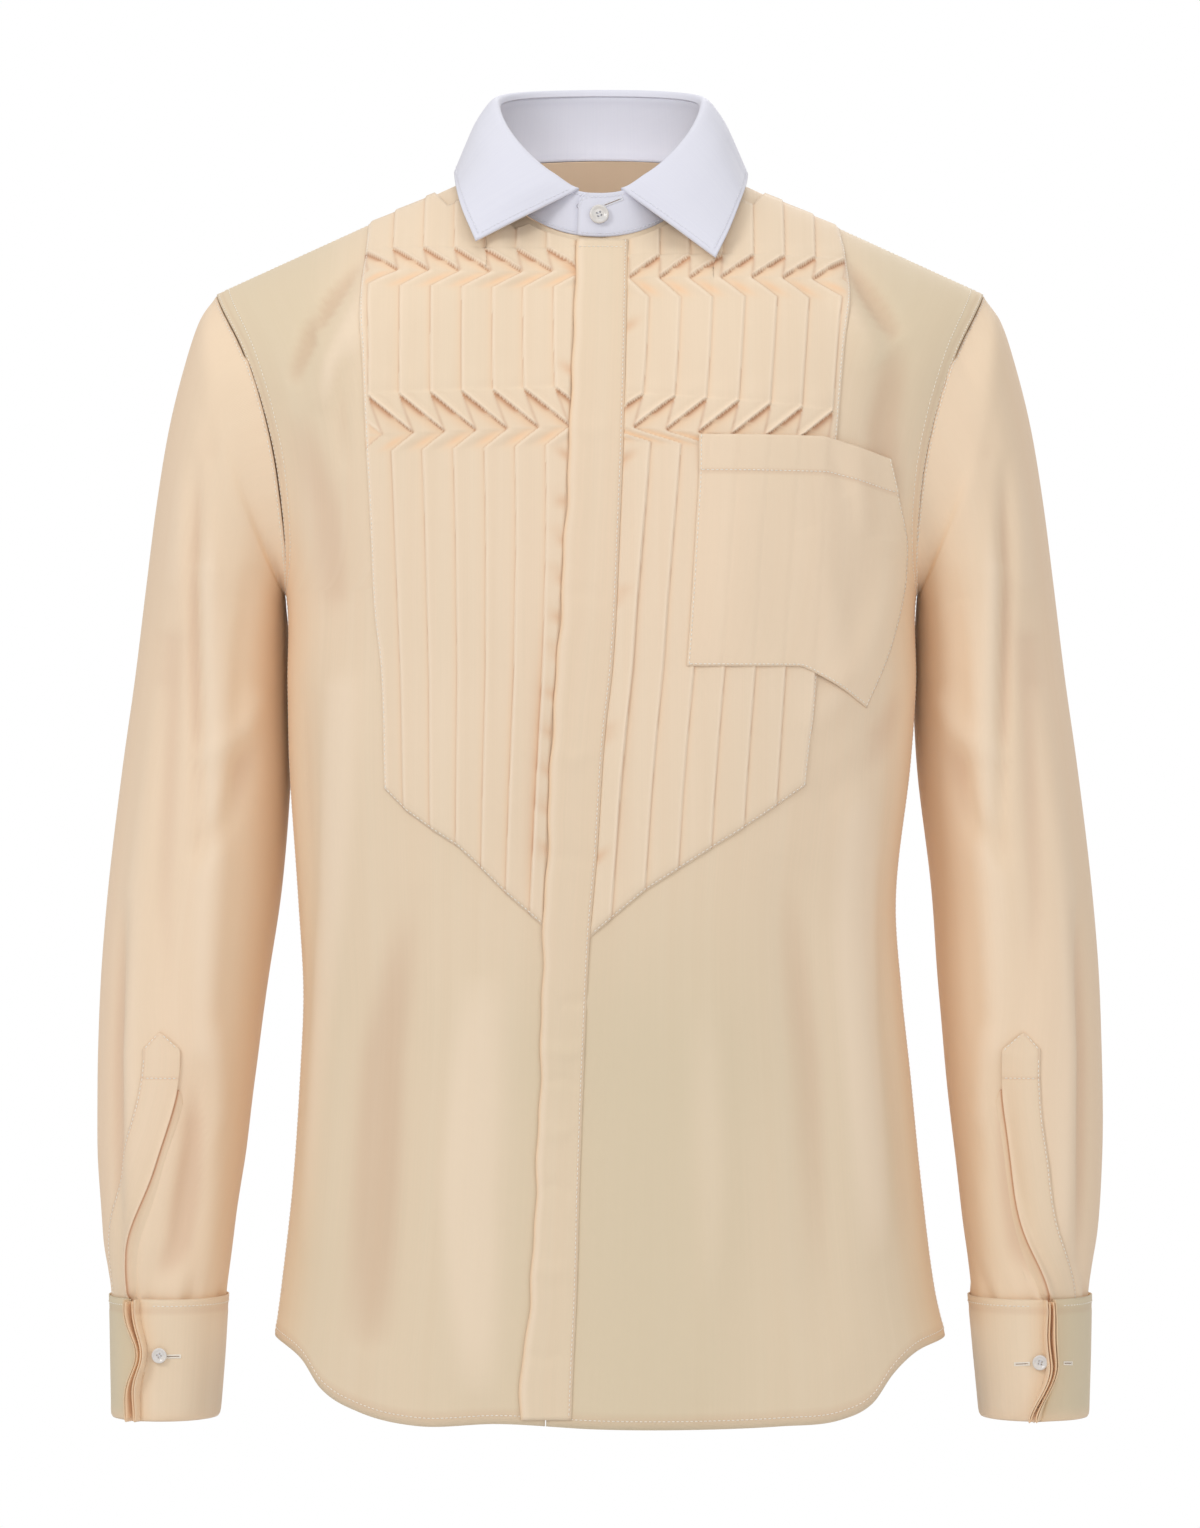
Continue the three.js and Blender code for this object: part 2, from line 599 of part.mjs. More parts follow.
function makeBib(name, side) {
  const levels = bibLevels[name];
  const tableRows = levels.map((level) => bibRow(levels, level, side));
  const topRows = bibTopFractions.map((fraction) => tableRows[0].map((point) => {
    const { drop } = bibTopDrops.find(({ upTo }) => Math.abs(point.x) < upTo);
    const top = topHeight(-1, point.x) - drop;
    return { x: point.x, z: mix(Math.max(top, point.z + 2), point.z, fraction), rise: point.rise };
  }));
  const spots = [...topRows, ...tableRows];
  const grid = spots.map((row) => row.map(({ x, z }) => frontPoint(x, z)));
  const normals = gridNormals(grid, bodyMiddle);
  const inner = (r) => bibLift + (r < bibTopFractions.length ? bibTopLift : 0);
  const outer = (r, c) => inner(r) + bibWall + spots[r][c].rise;
  const slab = solidOf(wallGeometry(grid, normals, inner, outer));
  const column = side < 0 ? "right" : "left";
  const innerEdge = placketEdges.filter(({ z }) => z > -440)
    .map((row) => [row[column] + side * seamGap * 3, row.z]).reverse();
  const outline = [...bibOutlines[name], ...innerEdge];
  outline.push([innerEdge[innerEdge.length - 1][0], 40]);
  const cutter = solidOf(outlinePrism(outline));
  addPiece(`bib_${name}`, geometryOf(slab.intersect(cutter)), creamCloth.clone());
}
makeBib("right", -1);
makeBib("left", 1);

// Placket: a flat strip between the bibs, over the meeting edges of the fronts
const placketHeights = [-38.5, -44, -54, -70, -95, -125, -160, -200, -245, -290, -330, -365, -400, -448, -510,
  -550, -590, -625, -660, -700, -729];
const placketAcross = [0, 0.34, 0.67, 1];
const placketGrid = placketHeights.map((z) => placketAcross.map((share) => frontPoint(
  mix(read(placketEdges, "z", z, "right"), read(placketEdges, "z", z, "left"), share), z)));
const placketNormals = gridNormals(placketGrid, bodyMiddle);
addPiece("placket", wallGeometry(placketGrid, placketNormals, placketLift, placketTop), creamCloth.clone());

// Pocket: laid over the bib's folds, dropping to the front beyond the bib's outer edge
const pocketGrid = pocketRows.map((row) => Array.from({ length: pocketColumns }, (unused, c) => {
  const share = c / (pocketColumns - 1);
  const slump = row.sag * Math.max(0, (share - 0.62) / 0.38) ** 1.2;
  return frontPoint(mix(row.inner, row.outer, share), row.z + slump);
}));
const pocketNormals = gridNormals(pocketGrid, bodyMiddle);
const pocketDrop = (r, c) => (pocketGrid[r][c].x > 143 ? pocketDropLift : pocketLift);
addPiece("pocket", wallGeometry(pocketGrid, pocketNormals, pocketDrop, (r, c) => pocketDrop(r, c) + pocketWall),
  creamCloth.clone());

// Sleeves
function armholeRing(sideName) {
  const side = sideName === "right" ? -1 : 1;
  const edgeOf = ({ grid, normals }, r, atEnd) => {
    const c = atEnd ? grid[0].length - 1 : 0;
    return { point: grid[r][c], normal: normals[r][c] };
  };
  const ring = [];
  for (let i = 0; i <= armholeRows; i += 1) ring.push(edgeOf(fronts[sideName], i, true));
  for (let i = armholeRows - 1; i >= 1; i -= 1) {
    if (i > yokeRows) ring.push(edgeOf(back, i - yokeRows, side > 0));
    else ring.push(edgeOf(yoke, i, side > 0));
  }
  return ring.map(({ point, normal }, k) => {
    const before = ring[(k + ring.length - 1) % ring.length].point;
    const after = ring[(k + 1) % ring.length].point;
    const away = after.clone().sub(before).cross(normal).normalize();
    if (away.dot(new THREE.Vector3(side, 0, 0.6)) < 0) away.negate();
    return { point: point.clone().addScaledVector(away, armholeSeam), normal, away };
  });
}

function ringPoint(ring, side, underX, beta) {
  const centre = new THREE.Vector3(side * (ring.outX + underX) / 2, ring.mid, (ring.outZ + ring.underZ) / 2);
  const reach = new THREE.Vector3(side * (ring.outX - underX) / 2, 0, (ring.outZ - ring.underZ) / 2);
  centre.addScaledVector(reach, Math.cos(beta));
  centre.y -= ring.depth * Math.sin(beta);
  return centre;
}

function makeSleeve(sideName) {
  const side = sideName === "right" ? -1 : 1;
  const ringColumns = armholeRows * 2;
  const start = armholeRows / 2;
  const armhole = armholeRing(sideName);
  const rings = [Array.from({ length: ringColumns }, (unused, j) => armhole[(start + j) % ringColumns].point)];
  sleeveRings.forEach((ring) => {
    const turn = read(sleeveTurn, "z", (ring.outZ + ring.underZ) / 2, "turn");
    rings.push(Array.from({ length: ringColumns }, (unused, j) => {
      const beta = THREE.MathUtils.degToRad(turn + ((start + j) % ringColumns) * 360 / ringColumns);
      return ringPoint(ring, side, ring[`${sideName}X`], beta);
    }));
  });
  const middleOf = new Map();
  rings.forEach((row) => {
    const centre = row.reduce((sum, point) => sum.add(point), new THREE.Vector3()).divideScalar(row.length);
    row.forEach((point) => middleOf.set(point, centre));
  });
  const normals = gridNormals(rings, (point) => middleOf.get(point), true);
  normals[0] = normals[0].map((normal, j) => {
    const seam = armhole[(start + j) % ringColumns];
    return normal.dot(seam.away) > 0 ? seam.normal.clone() : normal;
  });
  const grid = rings.map((row, r) => {
    const open = Math.max(0, (r - slitRing) / (rings.length - 1 - slitRing)) ** 2 * slitHalfGape;
    const towards = (point) => row[0].clone().addScaledVector(point.clone().sub(row[0]).normalize(), open);
    return [towards(row[1]), ...row.slice(1), towards(row[row.length - 1])];
  });
  const edged = normals.map((row) => [...row, row[0].clone()]);
  const geometry = wallGeometry(grid, edged, -clothWall, 0, { openFrom: slitRing });
  addPiece(`sleeve_${sideName}`, geometry, creamCloth.clone());
  return { rings, side };
}

// A strip on the lower sleeve, measured round the arm from the slit
function sleeveSpot(sleeve, sideName, z, across, outward) {
  const ring = {};
  const keys = ["outX", `${sideName}X`, "depth", "mid"];
  keys.forEach((key) => { ring[key] = read(sleeveRings, "outZ", z, key); });
  ring.outZ = z;
  ring.underZ = z;
  const turn = read(sleeveTurn, "z", z, "turn");
  const radius = (ring.outX - ring[`${sideName}X`] + ring.depth * 2) / 4;
  const beta = THREE.MathUtils.degToRad(90 + turn) - across / radius;
  const point = ringPoint(ring, sleeve.side, ring[`${sideName}X`], beta);
  const centre = new THREE.Vector3(sleeve.side * (ring.outX + ring[`${sideName}X`]) / 2, ring.mid, z);
  return point.add(point.clone().sub(centre).normalize().multiplyScalar(outward));
}

function makeSleeveStrips(sleeve, sideName) {
  const tower = sleevePlacketRows.map(({ z, width, start }) => [0, 0.33, 0.67, 1].map((share) => (
    sleeveSpot(sleeve, sideName, z, start + share * width, stripLift))));
  const underlap = underlapRows.map(({ z, width }) => [0, 1].map((share) => (
    sleeveSpot(sleeve, sideName, z, -1.2 - share * width, stripLift))));
  const ringMiddle = (point) => new THREE.Vector3(sleeve.side * 255, 5, point.z);
  const strips = [["sleeve_placket", tower], ["sleeve_underlap", underlap]];
  strips.forEach(([name, grid]) => {
    const normals = gridNormals(grid, ringMiddle);
    addPiece(`${name}_${sideName}`, wallGeometry(grid, normals, 0, stripWall), creamCloth.clone());
  });
}

const sleeves = { right: makeSleeve("right"), left: makeSleeve("left") };
makeSleeveStrips(sleeves.right, "right");
makeSleeveStrips(sleeves.left, "left");

// Cuffs: one cloth folded back on itself, with its two ends standing out together
function cuffPath(sideName, z) {
  const side = sideName === "right" ? -1 : 1;
  const half = (read(cuffRings, "z", z, "outX") - read(cuffRings, "z", z, `${sideName}X`)) / 2;
  const centreX = side * (read(cuffRings, "z", z, "outX") - half);
  const depth = read(cuffRings, "z", z, "depth");
  const mid = read(cuffRings, "z", z, "mid");
  const spot = (degrees, grow) => {
    const beta = THREE.MathUtils.degToRad(degrees);
    const across = centreX + side * (half + grow) * Math.cos(beta);
    return new THREE.Vector2(across, mid - (depth + grow) * Math.sin(beta));
  };
  const tip = spot(cuffOpenAngle, cuffFlare);
  const root = spot(cuffOpenAngle, 2);
  const along = tip.clone().sub(root).normalize();
  const spread = new THREE.Vector2(-along.y, along.x).multiplyScalar(side * cuffEndSpread);
  const points = [tip.clone().add(spread), root.clone().add(spread)];
  for (let i = 0; i <= cuffSegments; i += 1) {
    points.push(spot(cuffOpenAngle - 13 - (334 * i) / cuffSegments, 0));
  }
  points.push(root.clone().sub(spread), tip.clone().sub(spread));
  return { points, side };
}

function pathNormals(points, side) {
  return points.map((point, i) => {
    const before = points[Math.max(i - 1, 0)];
    const after = points[Math.min(i + 1, points.length - 1)];
    const along = after.clone().sub(before).normalize();
    return new THREE.Vector2(along.y, -along.x).multiplyScalar(side);
  });
}

function makeCuff(sideName) {
  const positions = [];
  const indices = [];
  const loops = cuffFoldProfile.map(({ out, z }) => {
    const { points, side } = cuffPath(sideName, z);
    const normals = pathNormals(points, side);
    return points.map((point, i) => {
      const moved = point.clone().addScaledVector(normals[i], out);
      positions.push(moved.x, moved.y, z);
      return positions.length / 3 - 1;
    });
  });
  const count = loops[0].length;
  loops.forEach((loop, k) => {
    const nextLoop = loops[(k + 1) % loops.length];
    for (let i = 0; i < count - 1; i += 1) {
      indices.push(loop[i], nextLoop[i], nextLoop[i + 1], loop[i], nextLoop[i + 1], loop[i + 1]);
    }
  });
  const contour = cuffFoldProfile.map(({ out, z }) => new THREE.Vector2(out, z));
  THREE.ShapeUtils.triangulateShape(contour, []).forEach(([a, b, c]) => {
    indices.push(loops[a][0], loops[b][0], loops[c][0]);
    indices.push(loops[a][count - 1], loops[c][count - 1], loops[b][count - 1]);
  });
  addPiece(`cuff_${sideName}`, closedGeometry(positions, indices), creamCloth.clone());
}
makeCuff("right");
makeCuff("left");

// Collar: a stand on the neck seam with its front ends lapped, and a leaf turned down over it
function standPoint(angle, rise, outward) {
  const radians = THREE.MathUtils.degToRad(angle);
  const x = neckHalfWidth * Math.sin(radians);
  const facing = Math.cos(radians) >= 0 ? -1 : 1;
  const depth = facing < 0 ? neckFrontDepth : neckBackDepth;
  const wrapped = ((angle + 540) % 360) - 180;
  const height = read(standTop, "angle", wrapped, "height");
  const lean = 1 - (standLean * rise) / neckHalfWidth;
  const across = new THREE.Vector2(Math.sin(radians), -Math.cos(radians)).multiplyScalar(outward);
  const z = topHeight(facing, x) + standSeam + height * rise;
  const y = facing * depth * Math.abs(Math.cos(radians)) * lean;
  return new THREE.Vector3(x * lean + across.x, y + across.y, z);
}

const endAngle = (x) => THREE.MathUtils.radToDeg(Math.asin(x / neckHalfWidth));
const standStart = endAngle(standUnderEnd);
const standFinish = -360 + endAngle(standOverEnd);

function standGrid(rises) {
  return rises.map((rise) => Array.from({ length: standColumns + 1 }, (unused, c) => {
    const angle = mix(standStart, standFinish, c / standColumns);
    const left = Math.abs(angle - standFinish);
    const lap = standLap * Math.max(0, 1 - left / 48) ** 0.6;
    return standPoint(angle, rise, lap);
  }));
}

const neckMiddle = (point) => new THREE.Vector3(0, 0, point.z);
const stand = standGrid([1, 0.5, 0]);
const standNormals = gridNormals(stand, neckMiddle);
addPiece("collar_stand", wallGeometry(stand, standNormals, -clothWall, 0), whiteCloth.clone());

const leafCurve = {};
["x", "y", "z"].forEach((axis) => {
  leafCurve[axis] = leafEdge.map((row, step) => ({ step, value: row[axis] }));
});

function leafEdgePoint(share) {
  const step = share * (leafEdge.length - 1);
  const value = (axis) => read(leafCurve[axis], "step", step, "value");
  const point = new THREE.Vector3(value("x"), value("y"), value("z"));
  if (point.y < 0) point.y = Math.min(point.y, frontPoint(point.x, point.z).y - leafClearance);
  return point;
}

const leafShape = [
  { share: 0, out: 0.4, up: 0.9 },
  { share: 0, out: 2.6, up: 2.8 },
  { share: 0.06, out: 4.2, up: 1.2 },
  { share: 0.3, out: 4.4, up: 1.2 },
  { share: 0.6, out: 2.6, up: 1.2 },
  { share: 0.85, out: 1, up: 0.5 },
  { share: 1, out: 0, up: 0 },
];

const leafGrid = leafShape.map(({ share, out, up }) => Array.from({ length: leafColumns + 1 }, (unused, c) => {
  const along = c / leafColumns;
  const angle = mix(-leafStartAngle, -360 + leafStartAngle, along);
  const roll = standPoint(angle, 1, 0);
  const away = new THREE.Vector3(roll.x, roll.y, 0).normalize();
  const edge = leafEdgePoint(along);
  return roll.lerp(edge, share).addScaledVector(away, out).add(new THREE.Vector3(0, 0, up));
}));
const leafNormals = gridNormals(leafGrid, (point) => new THREE.Vector3(0, 0, point.z - 40));
addPiece("collar_leaf", wallGeometry(leafGrid, leafNormals, 0, leafWall), whiteCloth.clone());

// Buttons: turned discs with a raised rim and a dished middle
function makeButton(name, radius, place, facing) {
  const thick = radius * 0.42;
  const profile = [
    [0, 0], [0.7, 0], [0.96, 0.22], [1, 0.55], [0.93, 0.92], [0.8, 1], [0.66, 0.86], [0.5, 0.66], [0, 0.6],
  ];
  const outline = profile.map(([across, up]) => new THREE.Vector2(across * radius, up * thick));
  const turned = new THREE.LatheGeometry(outline, 20);
  turned.deleteAttribute("normal");
  turned.deleteAttribute("uv");
  const merged = mergeVertices(turned, 0.002);
  const geometry = closedGeometry(Array.from(merged.attributes.position.array), Array.from(merged.index.array));
  const button = addPiece(name, geometry, pearl.clone());
  button.quaternion.setFromUnitVectors(new THREE.Vector3(0, 1, 0), facing.clone().normalize());
  button.position.copy(place);
}

const collarButtonSpot = new THREE.Vector3(-0.5, -neckFrontDepth - standLap + 1.5, -22.6);
makeButton("collar_button", collarButtonRadius, collarButtonSpot,
  new THREE.Vector3(0, -1, 0.07));

function makeCuffButton(sideName, z) {
  const { points, side } = cuffPath(sideName, z);
  const normals = pathNormals(points, side);
  const step = cuffSegments + 1;
  const normal = new THREE.Vector3(normals[step].x, normals[step].y, 0);
  const place = new THREE.Vector3(points[step].x, points[step].y, z).addScaledVector(normal, cuffButtonLift);
  makeButton(`cuff_button_${sideName}`, cuffButtonRadius, place, normal);
}
makeCuffButton("right", -697.5);
makeCuffButton("left", -701.7);

export default shirt;
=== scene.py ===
# Pleated dress shirt, worn form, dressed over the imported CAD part.
# Lengths in the tables are millimetres; +X is the wearer's left and the front faces -Y.
import math

import bmesh
import bpy
import numpy as np
from mathutils import Matrix, Vector


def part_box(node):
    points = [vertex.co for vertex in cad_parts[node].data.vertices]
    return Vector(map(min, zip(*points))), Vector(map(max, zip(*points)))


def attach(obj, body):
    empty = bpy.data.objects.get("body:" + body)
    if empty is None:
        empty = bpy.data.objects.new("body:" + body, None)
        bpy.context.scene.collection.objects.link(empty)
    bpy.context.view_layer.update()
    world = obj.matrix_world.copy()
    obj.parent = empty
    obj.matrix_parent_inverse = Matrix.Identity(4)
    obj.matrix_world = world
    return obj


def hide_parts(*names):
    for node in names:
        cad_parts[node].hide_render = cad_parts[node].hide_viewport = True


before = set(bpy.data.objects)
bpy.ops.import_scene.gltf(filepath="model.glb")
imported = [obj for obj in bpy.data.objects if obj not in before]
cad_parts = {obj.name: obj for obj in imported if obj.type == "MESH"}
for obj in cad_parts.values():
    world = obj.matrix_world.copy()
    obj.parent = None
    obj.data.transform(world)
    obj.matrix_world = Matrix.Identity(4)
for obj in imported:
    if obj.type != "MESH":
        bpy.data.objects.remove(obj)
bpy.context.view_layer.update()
scene = bpy.context.scene
mm = 0.001
sides = {"right": -1, "left": 1}  # the wearer's
surfaces = {}  # each piece of cloth with the points and normals of its face
print("frame loaded")


def added(name, data):
    # A new object in the scene
    made = bpy.data.objects.new(name, data)
    scene.collection.objects.link(made)
    return made


def meshed(name, shape):
    # A mesh from a finished bmesh
    data = bpy.data.meshes.new(name)
    shape.to_mesh(data)
    shape.free()
    return data


def smoothed(data, material):
    data.polygons.foreach_set("use_smooth", np.ones(len(data.polygons), bool))
    data.materials.append(material)


def carried(piece, slotName):
    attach(piece, "root")


# Camera, light and floor

view = {"distance": 4.0, "height": -0.347, "lens": 200, "sensor": 36}
cameraData = bpy.data.cameras.new("studio_camera")
cameraData.lens = view["lens"]
cameraData.sensor_width = view["sensor"]
cameraData.sensor_fit = "HORIZONTAL"
cameraData.clip_start = 0.1
cameraData.clip_end = 60
camera = added("studio_camera", cameraData)
camera.location = (0, -view["distance"], view["height"])
camera.rotation_euler = (math.pi / 2, 0, 0)
scene.camera = camera

softboxes = [  # place, aim, size and power of each light
    {"name": "key_light", "at": (-2.0, -2.3, 1.4), "to": (0, 0, -0.3), "size": 1.1, "watts": 28},
    {"name": "fill_light", "at": (2.2, -2.6, 0.4), "to": (0, 0, -0.35), "size": 1.8, "watts": 10},
    {"name": "front_light", "at": (0.2, -3.7, 0.5), "to": (0, 0, -0.2), "size": 1.2, "watts": 10},
    {"name": "rear_light", "at": (0.6, 2.8, 1.4), "to": (0, 0, -0.3), "size": 2.0, "watts": 30},
    {"name": "inside_light", "at": (0, -0.005, -0.012), "to": (0, 0.07, -0.05), "size": 0.04,
     "watts": 0.031},
    {"name": "top_light", "at": (0, -0.2, 2.4), "to": (0, 0, 0), "size": 1.6, "watts": 12},
]
for box in softboxes:
    lightData = bpy.data.lights.new(box["name"], "AREA")
    lightData.size = box["size"]
    lightData.energy = box["watts"]
    light = added(box["name"], lightData)
    light.location = box["at"]
    aim = Vector(box["to"]) - Vector(box["at"])
    light.rotation_euler = aim.to_track_quat("-Z", "Y").to_euler()
    light.visible_camera = False

scene.view_settings.view_transform = "Standard"
scene.view_settings.look = "None"


def feed(tree, socket, value):
    # Link a wire to a socket, or set the socket to a value
    if isinstance(value, Wire):
        tree.links.new(value.socket, socket)
    else:
        socket.default_value = value


class Wire:
    # A socket that can be used in sums, so shader maths reads as plain expressions
    def __init__(self, tree, socket):
        self.tree = tree
        self.socket = socket

    def joined(self, operation, first, second):
        node = self.tree.nodes.new("ShaderNodeMath")
        node.operation = operation
        feed(self.tree, node.inputs[0], first)
        feed(self.tree, node.inputs[1], second)
        return Wire(self.tree, node.outputs[0])

    def __add__(self, other):
        return self.joined("ADD", self, other)

    def __radd__(self, other):
        return self.joined("ADD", other, self)

    def __sub__(self, other):
        return self.joined("SUBTRACT", self, other)

    def __rsub__(self, other):
        return self.joined("SUBTRACT", other, self)

    def __mul__(self, other):
        return self.joined("MULTIPLY", self, other)

    def __rmul__(self, other):
        return self.joined("MULTIPLY", other, self)


class Finish:
    # A material and its node tree
    def __init__(self, name):
        self.material = bpy.data.materials.new(name)
        self.material.use_nodes = True
        self.tree = self.material.node_tree
        self.tree.nodes.clear()

    def add(self, kind, settings=None, out=0, **values):
        # A node with its settings, and values or links for sockets given by name, or by number as n0, n1
        node = self.tree.nodes.new(kind)
        for key, value in (settings or {}).items():
            setattr(node, key, value)
        for key, value in values.items():
            feed(self.tree, node.inputs[int(key[1:]) if key[1:].isdigit() else key], value)
        return Wire(self.tree, node.outputs[out])

    def mixed(self, factor, first, second):
        node = self.tree.nodes.new("ShaderNodeMix")
        node.data_type = "RGBA"
        for place, value in ((0, factor), (6, first), (7, second)):
            feed(self.tree, node.inputs[place], value)
        return Wire(self.tree, node.outputs[2])

    def finish(self, colour, roughness, normal=None, sheen=0.0, sheenTint=(1, 1, 1, 1), specular=0.5,
               coat=0.0):
        shader = self.tree.nodes.new("ShaderNodeBsdfPrincipled")
        output = self.tree.nodes.new("ShaderNodeOutputMaterial")
        feed(self.tree, shader.inputs["Base Color"], colour)
        feed(self.tree, shader.inputs["Roughness"], roughness)
        if normal:
            feed(self.tree, shader.inputs["Normal"], normal)
        shader.inputs["Sheen Weight"].default_value = sheen
        shader.inputs["Sheen Tint"].default_value = sheenTint
        shader.inputs["Specular IOR Level"].default_value = specular
        shader.inputs["Coat Weight"].default_value = coat
        self.tree.links.new(shader.outputs[0], output.inputs[0])
        return self.material


def tone(red, green, blue):
    # A screen colour, 0 to 255, as the linear colour that nodes use
    parts = [part / 255 for part in (red, green, blue)]
    linearParts = [part / 12.92 if part <= 0.04045 else ((part + 0.055) / 1.055) ** 2.4 for part in parts]
    return (*linearParts, 1)


surround = {"onCloth": 0.565, "behind": 1.0}  # strength of the white world, as light and as seen
world = bpy.data.worlds.new("studio_white")
world.use_nodes = True
scene.world = world
worldTree = world.node_tree
worldTree.nodes.clear()
seen = worldTree.nodes.new("ShaderNodeLightPath")
chosen = worldTree.nodes.new("ShaderNodeMixShader")
for socket, strength in ((1, surround["onCloth"]), (2, surround["behind"])):
    white = worldTree.nodes.new("ShaderNodeBackground")
    white.inputs[0].default_value = (1, 1, 1, 1)
    white.inputs[1].default_value = strength
    worldTree.links.new(white.outputs[0], chosen.inputs[socket])
worldOut = worldTree.nodes.new("ShaderNodeOutputWorld")
worldTree.links.new(seen.outputs["Is Camera Ray"], chosen.inputs[0])
worldTree.links.new(chosen.outputs[0], worldOut.inputs[0])

floorSize = {"radius": 1.4, "height": -1.05}
floorMesh = bmesh.new()
bmesh.ops.create_circle(floorMesh, cap_ends=True, segments=96, radius=floorSize["radius"])
bmesh.ops.translate(floorMesh, vec=(0, 0, floorSize["height"]), verts=floorMesh.verts)
studioFloor = added("studio_floor", meshed("studio_floor", floorMesh))
pale = Finish("pale_floor")
paleGrain = pale.add("ShaderNodeTexNoise", n2=40.0)
studioFloor.data.materials.append(pale.finish(tone(236, 236, 238), paleGrain * 0.1 + 0.7))
print("camera, lights and floor made")


# Cloth, button and thread finishes

# Cloth colours: peach is the painted warm glow in hollows and at edges turning away, deep the painted shade
# in creases, seams and under the pleats; creamLight is both the paler woven bands and the painted highlight;
# on the collar whiteShade is both its streak tone and its painted glow, and whiteDeep its painted shade
clothLook = {
    "cream": tone(245, 216, 186),
    "creamLight": tone(251, 229, 203),
    "sage": tone(222, 206, 175),
    "peach": tone(250, 204, 158),
    "deep": tone(182, 112, 70),
    "white": tone(238, 238, 246),
    "whiteShade": tone(222, 222, 236),
    "whiteDeep": tone(196, 196, 214),
    "thread": tone(255, 249, 238),
    "threadShade": tone(240, 222, 196),
    "whiteThread": tone(240, 240, 246),
    "whiteThreadShade": tone(228, 228, 236),
}
weave = {  # how often each pattern repeats over a metre of cloth, and the depth of the weave in metres
    "streakAcross": 900.0, "streakAlong": 9.0, "bandAcross": 95.0, "bandAlong": 1.3, "threads": 520.0,
    "slub": 260.0, "relief": 0.22, "depth": 0.0004,
}


def woven(name, ground, second, third, fold, sheen, stripe):
    # Shirting: fine warp streaks, wider soft bands, slow drifts of tone and a plain weave in relief, with
    # each piece's painted shade, warm glow and highlight mixed in
    look = Finish(name)
    place = look.add("ShaderNodeUVMap", {"uv_map": "cloth"})
    across = look.add("ShaderNodeSeparateXYZ", n0=place)
    along = Wire(look.tree, across.socket.node.outputs[1])
    space = look.add("ShaderNodeTexCoord", out=3)
    streakAt = look.add("ShaderNodeCombineXYZ", n0=across * weave["streakAcross"],
                        n1=along * weave["streakAlong"])
    streak = look.add("ShaderNodeTexNoise", n2=1.0, n3=3.0, Vector=streakAt)
    bandAt = look.add("ShaderNodeCombineXYZ", n0=across * weave["bandAcross"], n1=along * weave["bandAlong"])
    band = look.add("ShaderNodeTexNoise", n2=1.0, n3=2.0, Vector=bandAt)
    drift = look.add("ShaderNodeTexNoise", n2=4.2, n3=2.0, Vector=space)
    base = look.mixed(band * 0.9, ground, second)
    base = look.mixed(streak * stripe, base, third)
    driftEdge = look.add("ShaderNodeMapRange", n0=drift, n1=0.35, n2=0.7, n3=0.0, n4=0.55)
    base = look.mixed(driftEdge * 0.6, base, third)
    # Mixed in from each piece: the sage tone (painted sheen at the chest's sides, painted shade on the
    # cuffs), the painted warm glow, the painted highlight and the painted shade
    for tint, colour in (("sage", third), ("glow", fold[0]), ("light", second), ("fold", fold[1])):
        base = look.mixed(look.add("ShaderNodeAttribute", {"attribute_name": tint}, out=2), base, colour)
    warp, weft = [look.add("ShaderNodeTexWave", {"bands_direction": way, "wave_profile": "SIN"}, out=1,
                           Vector=place, n1=weave["threads"], n2=0.6, n3=2.0) for way in ("X", "Y")]
    slub = look.add("ShaderNodeTexNoise", n2=weave["slub"], n3=2.0, Vector=place)
    relief = look.add("ShaderNodeBump", Height=warp * 0.35 + weft * 0.35 + slub * 0.5 + streak * 0.4,
                      Strength=weave["relief"], Distance=weave["depth"])
    rough = streak * 0.12 + 0.62 - band * 0.1
    return look.finish(base, rough, relief, sheen=sheen, sheenTint=(1, 0.95, 0.9, 1), specular=0.3)


shirting = woven("shirting", clothLook["cream"], clothLook["creamLight"], clothLook["sage"],
                 (clothLook["peach"], clothLook["deep"]), 0.12, 0.35)
collarCloth = woven("collar_cloth", clothLook["white"], clothLook["white"], clothLook["whiteShade"],
                    (clothLook["whiteShade"], clothLook["whiteDeep"]), 0.1, 0.5)


def threadFinish(name, colour, shade):
    look = Finish(name)
    space = look.add("ShaderNodeTexCoord", out=3)
    twist = look.add("ShaderNodeTexNoise", n2=900.0, Vector=space)
    shine = look.add("ShaderNodeMapRange", n0=twist, n1=0.3, n2=0.7, n3=0.35, n4=0.6)
    tint = look.mixed(twist * 0.35, colour, shade)
    relief = look.add("ShaderNodeBump", Height=twist, Strength=0.3, Distance=0.0001)
    return look.finish(tint, shine, relief, sheen=0.1)


creamThread = threadFinish("cream_thread", clothLook["thread"], clothLook["threadShade"])
whiteThread = threadFinish("white_thread", clothLook["whiteThread"], clothLook["whiteThreadShade"])

pearlLook = Finish("pearl_button")
pearlSpace = pearlLook.add("ShaderNodeTexCoord", out=3)
pearlCloud = pearlLook.add("ShaderNodeTexNoise", n2=260.0, n3=3.0, n5=1.4, Vector=pearlSpace)
pearlBand = pearlLook.add("ShaderNodeTexWave", {"bands_direction": "DIAGONAL"}, out=1,
                          Vector=pearlSpace, n1=55.0, n2=6.0, n3=2.0)
pearlTint = pearlLook.mixed(pearlCloud, tone(236, 232, 224), tone(214, 212, 214))
pearlTint = pearlLook.mixed(pearlBand * 0.25, pearlTint, tone(228, 214, 200))
pearlBump = pearlLook.add("ShaderNodeBump", Height=pearlCloud, Strength=0.1, Distance=0.0002)
pearl = pearlLook.finish(pearlTint, pearlCloud * 0.15 + 0.16, pearlBump, coat=0.4)
print("finishes made")


# Reading of tables, and the body's surface

